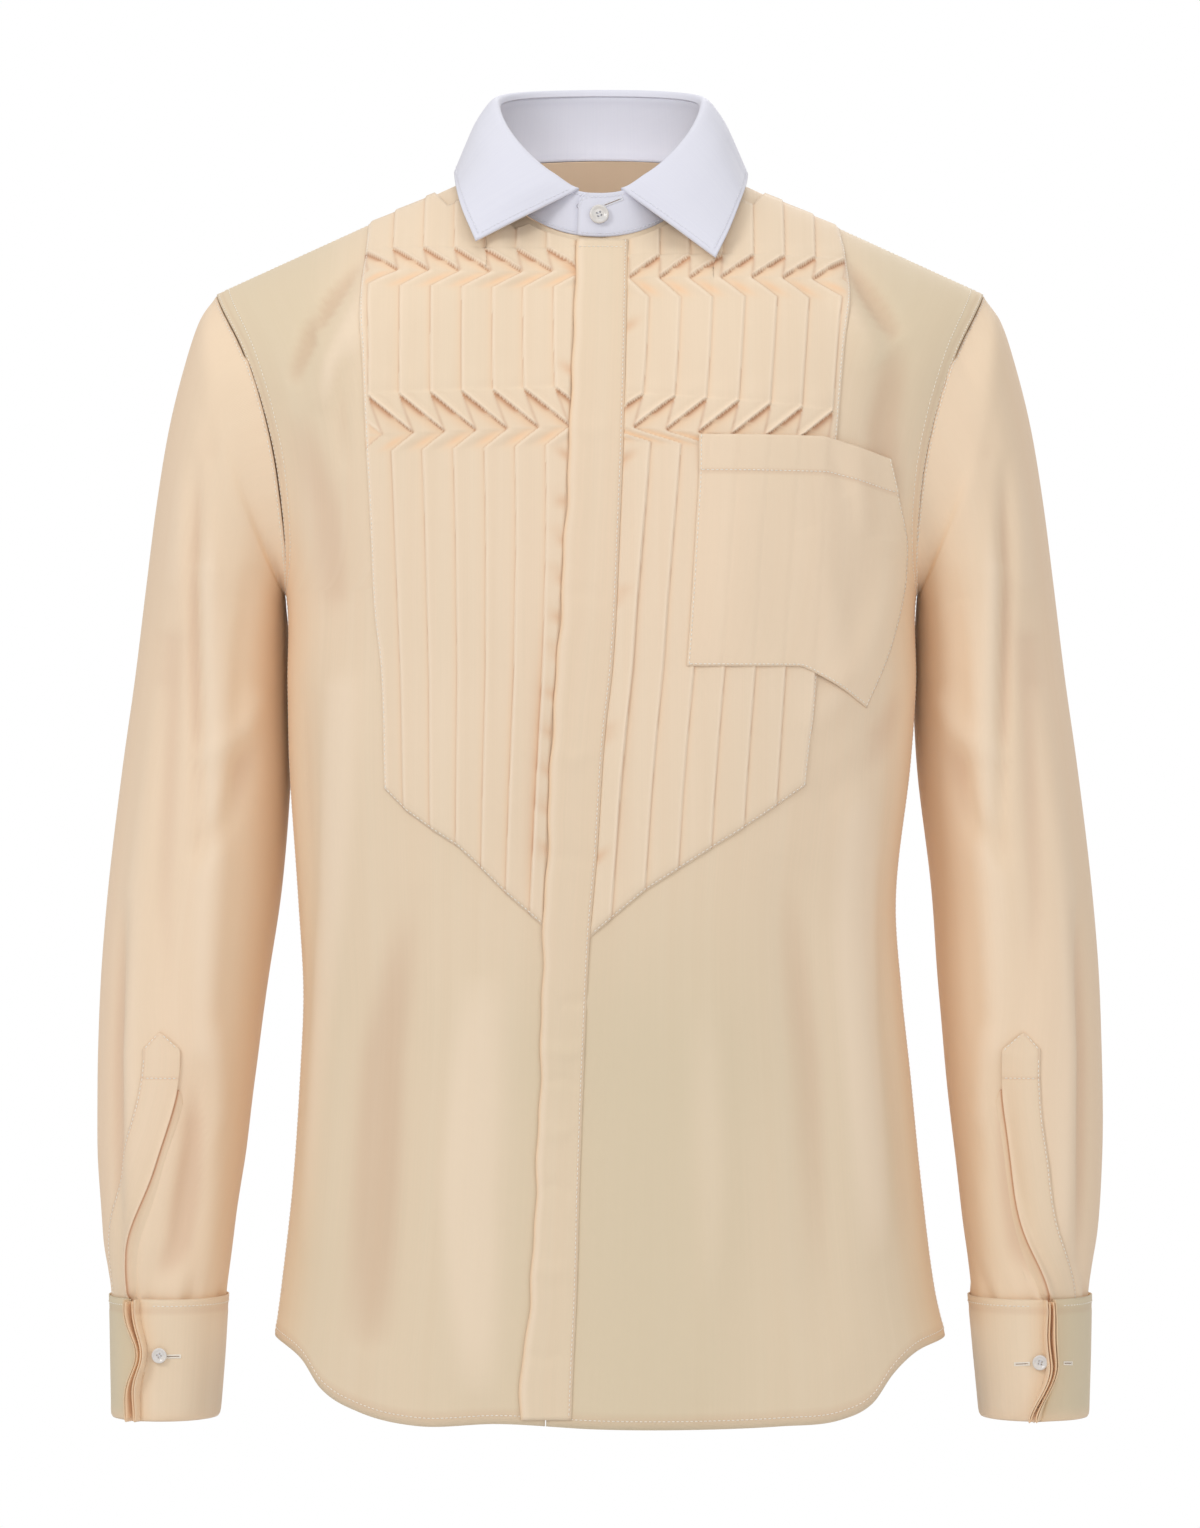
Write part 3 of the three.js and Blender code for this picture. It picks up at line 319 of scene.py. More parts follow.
def hermite(t, first, last, firstSlope, lastSlope):
    # A smooth curve between two values, with a slope at each
    return ((2 * t**3 - 3 * t**2 + 1) * first + (t**3 - 2 * t**2 + t) * firstSlope
            + (3 * t**2 - 2 * t**3) * last + (t**3 - t**2) * lastSlope)


def linear(table, at, column):
    # A column of a table between its rows, straight from row to row
    rows = np.array(sorted(table), float)
    return np.interp(at, rows[:, 0], rows[:, column])


def readTable(table, at, column):
    # The same as a smooth curve
    rows = np.array(sorted(table), float)
    keys, values = rows[:, 0], rows[:, column]
    slopes = np.diff(values) / np.diff(keys)
    tangents = np.concatenate([slopes[:1], (slopes[:-1] + slopes[1:]) / 2, slopes[-1:]])
    at = np.clip(at, keys[0], keys[-1])
    spot = np.clip(np.searchsorted(keys, at, side="right") - 1, 0, len(keys) - 2)
    step = keys[spot + 1] - keys[spot]
    return hermite((at - keys[spot]) / step, values[spot], values[spot + 1], step * tangents[spot],
                   step * tangents[spot + 1])


def mixBetween(a, b, t):
    return a + (b - a) * t


def ramp(value, low, high):
    t = np.clip((value - low) / (high - low), 0, 1)
    return t * t * (3 - 2 * t)


def bell(value, width, power=2):
    return np.exp(-((value / width) ** power))


body = {
    "roundness": 2.4, "gap": 0.3, "neckHalf": 66, "neckFront": 64, "neckBack": 60, "neckPoint": 9,
    "frontDrop": 45, "backRise": 11, "arch": 30, "slope": 0.455, "levelAt": 86, "roll": 80,
    "shoulder": -62, "underarm": -245, "yokeDrop": -95, "armRows": 10, "yokeRows": 3,
    "neckFade": 40, "neckEase": (-1, -0.7, -0.4, -0.13, 0.13, 0.4, 0.7, 1),
}
bodySections = [  # z, half width right and left, middle, front depth, back depth
    (60, 252, 252, 0, 58, 93), (20, 252, 252, 0, 60, 95), (-36, 252, 252, 0, 68, 107),
    (-62, 252, 252, 0, 84, 114), (-104, 236, 236, -3, 101, 121), (-140, 222, 222, -6, 109, 126),
    (-177, 208, 208, -10, 112, 131), (-245, 187.5, 189, -15, 112, 133), (-300, 186.5, 188.6, -15, 111, 132),
    (-345, 185.5, 185.5, -15, 110, 130), (-429, 180, 176.5, -15, 105, 127), (-483, 177, 180, -15, 102, 125),
    (-530, 178.8, 185, -15, 100, 124), (-600, 183.5, 192, -15, 99, 123), (-662, 190.5, 200, -15, 98, 122),
    (-690, 194, 206, -15, 98, 122), (-760, 198, 210, -15, 98, 122),
]
armholeEdge = [  # z, share of the half width
    (-62, 0.9167), (-104, 0.893), (-140, 0.896), (-177, 0.92), (-210, 0.955), (-245, 1),
]
hemLine = [  # x, z
    (-230, -676), (-194, -687), (-176, -698), (-165, -714), (-142, -727), (-107, -734), (-60, -732),
    (0, -735), (58, -735.5), (105, -734), (141, -731), (160, -722), (172, -706), (186, -694),
    (206, -687.5), (240, -676),
]
placketEdges = [  # z, right edge, left edge
    (-36, -13.5, 16.5), (-147, -17.5, 14), (-200, -19.8, 12), (-290, -25, 7.4), (-330, -28, 2.9),
    (-400, -30.8, -1.7), (-448, -33.2, -5.8), (-510, -34.4, -8.7), (-590, -37.3, -11.7), (-660, -41, -13.6),
    (-700, -45.8, -15.5), (-740, -47, -17),
]


def halfWidth(side, z):
    return np.where(side < 0, readTable(bodySections, z, 1), readTable(bodySections, z, 2))


def inwardShare(x):
    return np.sqrt(np.clip(1 - (np.abs(x) / body["neckHalf"]) ** 2, 0, 1))


def ridgeHeight(x):
    outside = (body["levelAt"] - np.abs(x)) * body["slope"]
    return np.where(np.abs(x) >= body["neckHalf"], outside, body["neckPoint"] + body["arch"] * inwardShare(x))


def topHeight(facing, x):
    inward = inwardShare(x)
    change = -body["frontDrop"] * inward**1.3 if facing < 0 else body["backRise"] * inward
    return np.where(np.abs(x) >= body["neckHalf"], ridgeHeight(x), body["neckPoint"] + change)


def rawDepth(facing, x, cosine, z):
    along = np.clip((ridgeHeight(x) - z) / body["roll"], 0, 1)
    rounding = np.sqrt(np.clip(1 - (1 - along) ** 2, 0, 1))
    reach = readTable(bodySections, z, 4 if facing < 0 else 5)
    return facing * reach * rounding * cosine ** (2 / body["roundness"])


def neckPull(facing, x, z):
    # How far the neck opening draws the cloth in or out behind its edge
    cosine = np.cos(angleOf(x, z))
    top = topHeight(facing, x)
    wanted = facing * (body["neckFront"] if facing < 0 else body["neckBack"]) * inwardShare(x)
    fade = np.exp((np.minimum(z, top) - top) / body["neckFade"])
    near = mixBetween(1, ramp(body["neckHalf"] - np.abs(x), 0, 26), ramp(top - z, 2, 30))
    pull = (wanted - rawDepth(facing, x, cosine, top)) * fade * near
    return np.where(np.abs(x) < body["neckHalf"], pull, 0)


def bodyPoint(facing, angle, z):
    x = np.sign(angle) * halfWidth(angle, z) * np.abs(np.sin(angle)) ** (2 / body["roundness"])
    cosine = np.clip(np.cos(angle), 0, 1)
    y = readTable(bodySections, z, 3) + rawDepth(facing, x, cosine, z)
    ease = 0.5 + 0.2 * np.clip(topHeight(facing, x) - z, 0, 90)
    pulls = [neckPull(facing, x + ease * shift, z) for shift in body["neckEase"]]
    y = y + sum(pulls) / len(pulls)
    return np.stack([x, y + facing * body["gap"] / 2, z + 0 * x], axis=-1)


def reachOf(x, z):
    # 0 at the middle of the body, 1 at its side
    return np.abs(x) / halfWidth(x, z)


def angleOf(x, z):
    return np.sign(x) * np.arcsin(np.clip(reachOf(x, z), 0, 1) ** (body["roundness"] / 2))


def edgeAngle(z):
    share = readTable(armholeEdge, np.minimum(z, body["shoulder"]), 1)
    curved = np.arcsin(np.clip(share, 0, 1) ** (body["roundness"] / 2))
    return np.where(z <= body["underarm"], math.pi / 2, curved)


def settled(start, acrossAt, lineAt):
    # The height at which a line up the cloth meets an edge, found in small steps
    z = start
    for turn in range(40):
        z = mixBetween(z, lineAt(acrossAt(z)), 0.7)
    return z


def unit(vectors):
    return vectors / np.maximum(np.linalg.norm(vectors, axis=-1, keepdims=True), 1e-9)


def outwardNormals(points, across, middle):
    # Normals of a grid of points, facing away from the middle
    normals = unit(np.cross(across, np.gradient(points, axis=0)))
    return -normals if np.sum(normals * (points - middle)) < 0 else normals


def strokeField(x, z, strokes):
    # Soft creases along lines: each stroke has its points, its height or depth, and its half width
    total = np.zeros_like(x)
    for points, depth, width in strokes:
        nearest = np.full(x.shape, 1e9)
        share = np.zeros_like(x)
        spots = np.array(points, float)
        lengths = np.linalg.norm(np.diff(spots, axis=0), axis=1)
        reached = np.concatenate([[0], np.cumsum(lengths)])
        for i, length in enumerate(lengths):
            step = spots[i + 1] - spots[i]
            t = np.clip(((x - spots[i, 0]) * step[0] + (z - spots[i, 1]) * step[1]) / length**2, 0, 1)
            away = np.hypot(x - spots[i, 0] - t * step[0], z - spots[i, 1] - t * step[1])
            closer = away < nearest
            nearest = np.where(closer, away, nearest)
            share = np.where(closer, (reached[i] + t * length) / reached[-1], share)
        taper = np.sqrt(np.clip(np.sin(math.pi * share), 0, 1))
        total += depth * bell(nearest, width) * taper
    return total


def flatGrid(name, columns, rows):
    # A flat grid with the order of its points by row, and their shares across and down
    flat = bmesh.new()
    bmesh.ops.create_grid(flat, x_segments=columns, y_segments=rows, size=0.5)
    data = meshed(name, flat)
    spots = np.zeros(len(data.vertices) * 3)
    data.vertices.foreach_get("co", spots)
    spots = spots.reshape(-1, 3)
    order = np.lexsort((spots[:, 0], -spots[:, 1]))
    u = (spots[order, 0] + 0.5).reshape(rows + 1, columns + 1)
    v = (0.5 - spots[order, 1]).reshape(rows + 1, columns + 1)
    return data, order, u, v


def clothPiece(name, columns, rows, place, wall, middle, material=shirting, slotName="shirting",
               joinDistance=None):
    # place(u, v) gives the points of the cloth, the lift off them, and at every spot its sage tone and the
    # strength of its painted shade, warm glow and highlight
    data, order, u, v = flatGrid("cloth_" + name, columns, rows)
    made = place(u, v)
    points = made["points"]
    normals = made.get("normals")
    if normals is None:
        normals = outwardNormals(points, np.gradient(points, axis=1), middle(points))
    final = points + normals * np.broadcast_to(made["lift"], u.shape)[..., None]
    placed = np.zeros((len(order), 3))
    placed[order] = final.reshape(-1, 3) * mm
    data.vertices.foreach_set("co", placed.ravel())
    across = np.cross(np.gradient(final, axis=1), -np.gradient(final, axis=0))
    if np.sum(across * normals) < 0:
        data.flip_normals()
    steps = np.linalg.norm(np.diff(final, axis=1), axis=-1)
    widths = np.concatenate([np.zeros((rows + 1, 1)), np.cumsum(steps, axis=1)], axis=1).mean(axis=0) * mm
    drops = np.linalg.norm(np.diff(final, axis=0), axis=-1)
    lengths = np.concatenate([np.zeros((1, columns + 1)), np.cumsum(drops, axis=0)], axis=0).mean(axis=1) * mm
    cloth = np.zeros((len(order), 2))
    cloth[order] = np.stack(np.broadcast_arrays(widths[None, :], lengths[:, None]), axis=-1).reshape(-1, 2)
    if "flat" in made:
        cloth[order] = made["flat"].reshape(-1, 2) * mm
    layer = data.uv_layers.new(name="cloth")
    corners = np.zeros(len(data.loops), int)
    data.loops.foreach_get("vertex_index", corners)
    layer.data.foreach_set("uv", cloth[corners].ravel())
    for tint in ("fold", "glow", "sage", "light"):
        values = np.zeros(len(order), np.float32)
        values[order] = np.broadcast_to(made.get(tint, 0), u.shape).reshape(-1)
        data.attributes.new(tint, "FLOAT", "POINT").data.foreach_set("value", np.clip(values, 0, 1))
    if joinDistance:
        joined = bmesh.new()
        joined.from_mesh(data)
        bmesh.ops.remove_doubles(joined, verts=joined.verts, dist=joinDistance * mm)
        joined.to_mesh(data)
        joined.free()
    smoothed(data, material)
    piece = added("cloth_" + name, data)
    thickness = piece.modifiers.new("cloth_wall", "SOLIDIFY")
    thickness.thickness = wall * mm
    thickness.offset = -1
    thickness.use_even_offset = False
    carried(piece, slotName)
    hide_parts(name)
    surfaces[name] = {"piece": piece, "points": final, "normals": normals}


def bodyMiddle(points):
    return np.stack([points[..., 0] * 0.3, points[..., 1] * 0, np.minimum(points[..., 2], -60) - 10], axis=-1)


# Fronts, back and yoke

panels = {
    "wall": 0.7, "armShare": 0.42, "columns": 84, "rows": 165, "backColumns": 112, "backRows": 130,
    "hem": 5, "hemRise": 0.35, "felled": 8, "frontWidth": 210, "yokeColumns": 170, "yokeRows": 44,
    # creaseLight, creaseDark and sideGlow set the painted highlight on the creases' ridges, the painted shade
    # in their hollows and the painted warm glow at the body's sides
    "backArmShare": 0.32, "creaseLight": 0.5, "creaseDark": 0.2, "sideGlow": 0.3,
}
frontStrokes = [  # points across and up, height or depth, half width
    ([(-134, -36), (-150, -60), (-170, -91), (-182, -124)], -4.4, 5.5),
    ([(-126, -52), (-140, -84), (-156, -112), (-164, -140)], 3.4, 8),
    ([(-150, -100), (-152, -140), (-150, -176)], -2.2, 5),
    ([(-192, -52), (-206, -62), (-218, -66)], 2.2, 6),
    ([(-166, -72), (-168, -98)], 1.8, 3),
    ([(146, -44), (158, -66), (176, -96)], -4.2, 5.5),
    ([(134, -52), (146, -78), (164, -112)], 3.2, 8),
    ([(178, -96), (168, -150), (170, -215)], -2.8, 11),
    ([(-178, -140), (-160, -200), (-150, -300)], -2.8, 13),
    ([(-150, -250), (-156, -380), (-170, -520), (-176, -640)], 3.4, 14),
    ([(-172, -300), (-170, -430), (-182, -560)], -2.4, 8),
    ([(-110, -420), (-128, -520), (-136, -690)], -3.2, 15),
    ([(-70, -470), (-78, -600), (-70, -720)], 2.8, 16),
    ([(60, -470), (66, -600), (60, -720)], 2.4, 18),
    ([(108, -400), (124, -520), (132, -700)], -3.2, 15),
    ([(152, -330), (150, -450), (166, -640)], 3.4, 14),
    ([(176, -230), (150, -290), (120, -330)], 2.6, 11),
    ([(182, -300), (160, -345), (128, -372)], -2.6, 11),
    ([(172, -400), (168, -500), (184, -640)], -2.4, 9),
]
backStrokes = [  # the same for the back
    ([(-40, -110), (-46, -300), (-52, -560), (-50, -720)], 3.0, 16),
    ([(40, -110), (44, -300), (54, -560), (56, -720)], 3.0, 16),
    ([(0, -130), (2, -330), (-4, -600), (0, -730)], -2.6, 22),
    ([(-96, -250), (-102, -420), (-112, -690)], -2.6, 20),
    ([(98, -240), (104, -430), (112, -690)], -2.6, 20),
    ([(-150, -260), (-140, -420), (-150, -660)], 2.4, 18),
    ([(150, -260), (142, -420), (154, -660)], 2.4, 18),
    ([(-176, -150), (-140, -210), (-96, -250)], 2.6, 12),
    ([(176, -150), (140, -205), (98, -246)], 2.6, 12),
    ([(-182, -190), (-150, -240), (-120, -300)], -2.4, 12),
    ([(182, -190), (150, -236), (120, -296)], -2.4, 12),
    ([(-60, -40), (-110, -60), (-160, -72)], 1.4, 9),
    ([(60, -38), (112, -58), (164, -74)], 1.4, 9),
]


def torsoCrease(facing, x, z):
    strokes = frontStrokes if facing < 0 else backStrokes
    calm = 1 - ramp(reachOf(x, z), 0.93, 1.0)
    wander = 0.7 * np.sin(x / 31 + z / 210) + 0.5 * np.sin(x / 17 - z / 130 + 1.3)
    topCalm = ramp(ridgeHeight(x) - z, 4, 40)
    return (strokeField(x, z, strokes) + wander) * calm * topCalm


# A greener tone low on the torso; at the sides of the chest and shoulders, where the cloth turns away, the
# same tone is painted sheen, in place of the shot cloth's greener look at glancing angles
def sageZone(x, z):
    low = ramp(-z, 360, 540) * 0.75 * (0.7 + 0.3 * np.sin(x / 47 + 1.1))
    shoulder = ramp(np.abs(x), 130, 180) * ramp(z, -210, -70) * 0.6
    return np.clip(low + shoulder, 0, 0.85)


def frontPlace(x, z, lift):
    # Points on the front by place across and up, with their normals and the lift with its creases
    step = 0.6  # how far away the neighbours lie that give the normals

    def at(across, up):
        return bodyPoint(-1, angleOf(across, up), up)

    here = at(x, z)
    normals = unit(np.cross(at(x + step, z) - at(x - step, z), at(x, z + step) - at(x, z - step)))
    normals = np.where(normals[..., 1:2] > 0, -normals, normals)
    return here, normals, lift + torsoCrease(-1, x, z)


def placketMiddle(z):
    return (readTable(placketEdges, z, 1) + readTable(placketEdges, z, 2)) / 2


def easedRow(share):
    return (1 - np.cos(math.pi * share)) / 2


def panelHeights(facing, angleAt, u, v):
    def acrossAt(z):
        return bodyPoint(facing, angleAt(u[0], z), z)[..., 0]

    top = settled(np.full(u[0].shape, -20.0), acrossAt, lambda x: topHeight(facing, x))
    hem = settled(np.full(u[0].shape, -700.0), acrossAt, lambda x: readTable(hemLine, x, 1))
    return top, hem


def hemAndCrease(facing, x, z, hem):
    # Lift of the turned hem and the creases, for a front or the back, with painted shade along the hem's turn
    # and in the creases' hollows, painted highlight on their ridges, the sage tone, and painted warm glow
    # where the body turns away at its sides
    aboveHem = z - hem[None, :]
    turned = panels["hemRise"] * (1 - ramp(aboveHem, panels["hem"] - 0.6, panels["hem"] + 0.6))
    crease = torsoCrease(facing, x, z)
    dark = bell(aboveHem - panels["hem"], 0.9) * 0.16 + panels["creaseDark"] * ramp(-crease, 0.7, 3.4)
    return {"lift": crease + turned, "sage": sageZone(x, z), "fold": dark,
            "light": panels["creaseLight"] * ramp(crease, 0.7, 3),
            "glow": ramp(reachOf(x, z), 0.86, 1.0) * panels["sideGlow"]}


def upperAndLower(v, arm, upper, hem):
    # Heights down the cloth: to the underarm in the first share of v, and on to the hem
    lower = mixBetween(body["underarm"], hem[None, :], np.clip((v - arm) / (1 - arm), 0, 1))
    return np.where(v <= arm, upper, lower)


def frontPanel(side):
    def angleAt(u, z):
        inner = angleOf(placketMiddle(z) + side * body["gap"], z)
        return mixBetween(inner, side * edgeAngle(z), u)

    def place(u, v):
        top, hem = panelHeights(-1, angleAt, u, v)
        arm = panels["armShare"]
        upper = mixBetween(top[None, :], body["underarm"], easedRow(np.clip(v / arm, 0, 1)))
        z = upperAndLower(v, arm, upper, hem)
        points = bodyPoint(-1, angleAt(u, z), z)
        made = hemAndCrease(-1, points[..., 0], z, hem)
        fromSeam = (1 - u) * panels["frontWidth"]
        felled = bell(fromSeam - panels["felled"], 1.6) * (v < arm)
        made["lift"] = made["lift"] + 0.35 * np.sin(z / 1.9) * felled
        # Painted shade in the felled seam's ripples
        made["fold"] = made["fold"] + 0.1 * felled
        return {"points": points, **made}

    return place


for sideName, side in sides.items():
    clothPiece("front_" + sideName, panels["columns"], panels["rows"], frontPanel(side), panels["wall"],
               bodyMiddle)

armStart = easedRow(body["yokeRows"] / body["armRows"])


def seamHeight(u):
    atArmhole = mixBetween(body["shoulder"], body["underarm"], armStart)
    return mixBetween(body["yokeDrop"], atArmhole, u**2)


def backAngle(u, z):
    return (2 * u - 1) * edgeAngle(z)


def yokePlace(u, v):
    top, hem = panelHeights(1, backAngle, u, v)
    seam = seamHeight(2 * u - 1) + body["gap"] / 2
    share = easedRow(v * body["yokeRows"] / body["armRows"]) / armStart
    z = mixBetween(top[None, :], seam, share)
    points = bodyPoint(1, backAngle(u, z), z)
    x = points[..., 0]
    nearNeck = (1 - ramp(np.abs(x), 40, 70)) * ramp(z, -60, -40)
    # Near the neck the yoke gets painted light and warm glow, for light on the inside of the back that shows
    # through the neck opening
    return {"points": points, "lift": torsoCrease(1, x, z), "sage": sageZone(x, z) * 0.8 * (1 - nearNeck),
            "glow": 0.1 + 0.3 * nearNeck, "light": 0.6 * nearNeck}


def backPlace(u, v):
    top, hem = panelHeights(1, backAngle, u, v)
    seam = seamHeight(2 * u - 1) - body["gap"] / 2
    arm = panels["backArmShare"]
    first = body["yokeRows"] / body["armRows"]
    share = (easedRow(mixBetween(first, 1, np.clip(v / arm, 0, 1))) - armStart) / (1 - armStart)
    z = upperAndLower(v, arm, mixBetween(seam, body["underarm"], share), hem)
    points = bodyPoint(1, backAngle(u, z), z)
    made = hemAndCrease(1, points[..., 0], z, hem)
    # Painted shade just under the yoke's seam
    made["fold"] = made["fold"] + bell(z - seam + 1.2, 1.0) * 0.3
    return {"points": points, **made}


clothPiece("yoke", panels["yokeColumns"], panels["yokeRows"], yokePlace, panels["wall"], bodyMiddle)
clothPiece("back", panels["backColumns"], panels["backRows"], backPlace, panels["wall"], bodyMiddle)
print("fronts, yoke and back made")


# Bibs with their two rows of twisted pleats

bib = {
    "wall": 0.5, "lift": 1.5, "edgeLift": 0.75, "underLift": 0.55, "tuck": 2.6, "columns": 184,
    "rowStops": (0, 12, 62, 84, 138, 186), "rowLevels": (-80, -126, -172), "cordRise": 3.1,
}
pleat = {  # heights of the pleats and their twists, and the strength of their painted shade, painted warm glow and painted highlight
    "rise": 1.05, "deepRise": 1.9, "cord": 1.1, "facet": 1.35, "tack": 1.5, "swell": 0.9, "returnRipple": 0.7,
    "warm": 0.22, "dark": 0.34, "light": 0.55, "twistDark": 0.95, "twistWarm": 0.55, "twistLight": 0.9,
}
bibLevels = {  # z, first line, pitch
    "right": [(-44, -140, 18.1), (-58, -118.3, 18.1), (-67.5, -135.3, 18), (-100, -135.2, 18),
              (-130, -135, 18.1), (-152, -108.2, 18.1), (-163, -121.2, 17.9), (-190, -119.8, 17.7),
              (-220, -118.5, 17.4), (-257, -117, 16.9), (-295, -115.6, 16.4), (-330, -115, 15.9),
              (-365, -114.4, 15.4), (-410, -113.2, 14.7), (-455, -112, 14)],
    "left": [(-49, 145.6, -18.4), (-62.5, 124.8, -18), (-74, 141.5, -18.8), (-104, 139, -18.6),
             (-136, 136.2, -18.5), (-154.5, 113.5, -18.8), (-163, 135.3, -17.6), (-190, 132.8, -17.6),
             (-220, 130.2, -17.6), (-255, 127.8, -17.7), (-290, 125.5, -17.7), (-328, 123.2, -18),
             (-365, 121, -18.2), (-410, 119, -18.4), (-455, 117, -18.6)],
}
twistRows = {  # tip, end, return and slant of each row
    "right": [(-44, -58, -67.5, 0.0), (-130, -152, -163, 0.75)],
    "left": [(-49, -62.5, -74, 0.0), (-136, -154.5, -163, 1.45)],
}
bibOuter = {  # z, outer edge
    "right": [(40, -139), (-33, -138.4), (-56, -140.4), (-145, -137.4), (-200, -134.2), (-261, -131.1),
              (-287, -128), (-361.4, -125.7), (-450, -123)],
    "left": [(40, 143), (-28, 142.7), (-45, 146), (-63, 147.6), (-95, 144.3), (-154, 139.1),
             (-299.5, 126.3), (-359.7, 119.8), (-450, 112)],
}
bibLower = {  # x, z of the lower edge
    "right": [(-126, -361.2), (-112.7, -374.8), (-97.4, -385.9), (-82.1, -395.7), (-69.3, -407.9),
              (-55.3, -421.9), (-33.6, -441), (-25, -449)],
    "left": [(120, -359.5), (105.6, -369.6), (81.6, -385.8), (61.1, -398.6), (43.1, -410.2), (25, -421.9),
             (-5.2, -447.5), (-10, -451)],
}
puckerHeights = {  # where the placket's seam draws the bib in
    "right": [-58, -118, -168, -196, -216, -238, -262, -282, -306, -328, -350, -372, -398],
    "left": [-92, -170, -250, -330, -402],
}


def pleatField(which, x, z):
    # Height of the pleats at a place on the bib, and the painted shade, painted warm glow and painted
    # highlight that go with them
    levels = bibLevels[which]
    slant = np.zeros_like(z)
    for tip, end, back, lean in twistRows[which]:
        middle = (tip + back) / 2
        slant = slant + lean * bell(z - middle, 26, 4)
    place = (x - linear(levels, z, 1)) / linear(levels, z, 2)
    level = z - slant * (np.clip(place, -1, 8) - 3)
    start, pitch = linear(levels, level, 1), linear(levels, level, 2)
    place = (x - start) / pitch
    inside = place >= 0
    n = np.floor(place)
    f = place - n
    width = np.abs(pitch)
    slope = linear(levels, level + 0.5, 1) - linear(levels, level - 0.5, 1)
    square = 1 / np.sqrt(1 + slope**2)
    fromLine = f * width * square       # millimetres past this fold edge
    toLine = (1 - f) * width * square   # millimetres to the next one
    if which == "right":
        deep = ramp(n, 2.5, 5.2) * bell(level + 350, 66, 4)
    else:
        deep = ramp(n, 4.5, 6) * bell(level + 300, 120, 4) * 0.5
    rise = pleat["rise"] + pleat["deepRise"] * deep
    height = rise * (1 - f) ** (1.1 + 1.2 * deep) * ramp(fromLine, 0, 0.7)
    height = np.where(inside, height, 0.15)
    # Painted shade and warm glow at the foot of each step, just before the next fold edge, and painted
    # highlight just past each fold edge
    warm = pleat["warm"] * bell(toLine, 2.4) * (1 + 1.6 * deep)
    dark = (pleat["dark"] + 0.3 * deep) * bell(toLine, 0.7) + 0.42 * deep * bell(toLine, 5.0)
    light = (pleat["light"] + 0.4 * deep) * bell(fromLine - 1.1, 1.0) * inside
    for tip, end, back, lean in twistRows[which]:
        t = (tip - level) / (tip - end)
        inRow = ramp(t, -0.10, 0.02) * (1 - ramp(t, 0.99, 1.06))
        near = np.clip(t, 0, 1)
        crease = 1 - near
        onTab = f < crease
        g = np.clip(f / np.maximum(crease, 0.02), 0, 1)
        cord = bell(fromLine, 1.5) - 0.35 * bell(fromLine - 3.2, 1.6)
        tab = bib["cordRise"] * (0.62 - 0.22 * g) + pleat["cord"] * cord
        tab = tab * ramp(fromLine, 0, 0.55)
        h = np.clip((f - crease) / np.maximum(near, 0.02), 0, 1)
        facet = pleat["facet"] * (1 - h) ** 0.8 + 0.05
        tack = bell(near - 0.63, 0.06) * bell(toLine, 2.0)
        facet = facet + pleat["tack"] * tack
        flatPart = np.where(place > -1, facet * np.where(inside, 1, 0.4), 0.15)
        rowHeight = np.where(onTab & inside, tab, flatPart)
        height = mixBetween(height, rowHeight, inRow)
        # Painted shadow under each twisted stroke, broken at the tack, and a thin painted shade along the
        # crease
        under = bell(toLine, mixBetween(2.0, 0.8, ramp(near, 0.6, 0.7)))
        under = under * ramp(near, 0.0, 0.12) * (1 - 0.8 * tack) * np.where(onTab, 0, 1)
        thin = bell((f - crease) * width * square, 0.55) * 0.35 * ramp(near, 0.02, 0.2)
        twisted = np.clip(pleat["twistDark"] * under + thin, 0, 1) * np.where(place > -1, 1, 0)
        dark = mixBetween(dark, twisted, inRow)
        # Painted warm glow on the facet beside the stroke's shadow, and a painted glint along the tab's cord
        # edge
        glow = pleat["twistWarm"] * bell(toLine, 4.5) * np.where(onTab, 0, 1)
        warm = mixBetween(warm, glow + 0.25 * bell(fromLine, 1.4), inRow)
        swell = bell(t + 0.25, 0.35) * (1 - inRow) * np.where(inside, 1, 0)
        height = height + pleat["swell"] * swell * np.sin(math.pi * f)
        glint = bell(fromLine - 0.9, 0.8) * np.where(onTab, pleat["twistLight"], 0)
        light = mixBetween(light, glint, inRow)
        # A ripple where each pleat returns below its twist, with painted warm glow along it
        returnRipple = bell(level - (end + back) / 2, 4.5) * (1 - inRow)
        wave = np.cos(2 * math.pi * (f - 0.15)) * np.where(inside, 1, 0)
        height = height + pleat["returnRipple"] * returnRipple * wave
        warm = np.clip(warm + 0.75 * returnRipple * bell(f - 0.72, 0.2), 0, 1)
    return height, dark, warm, light


def bibEdgeX(which, z):
    # The outer edge, and the placket edge that the bib passes under
    return readTable(bibOuter[which], z, 1), readTable(placketEdges, z, 1 if which == "right" else 2)


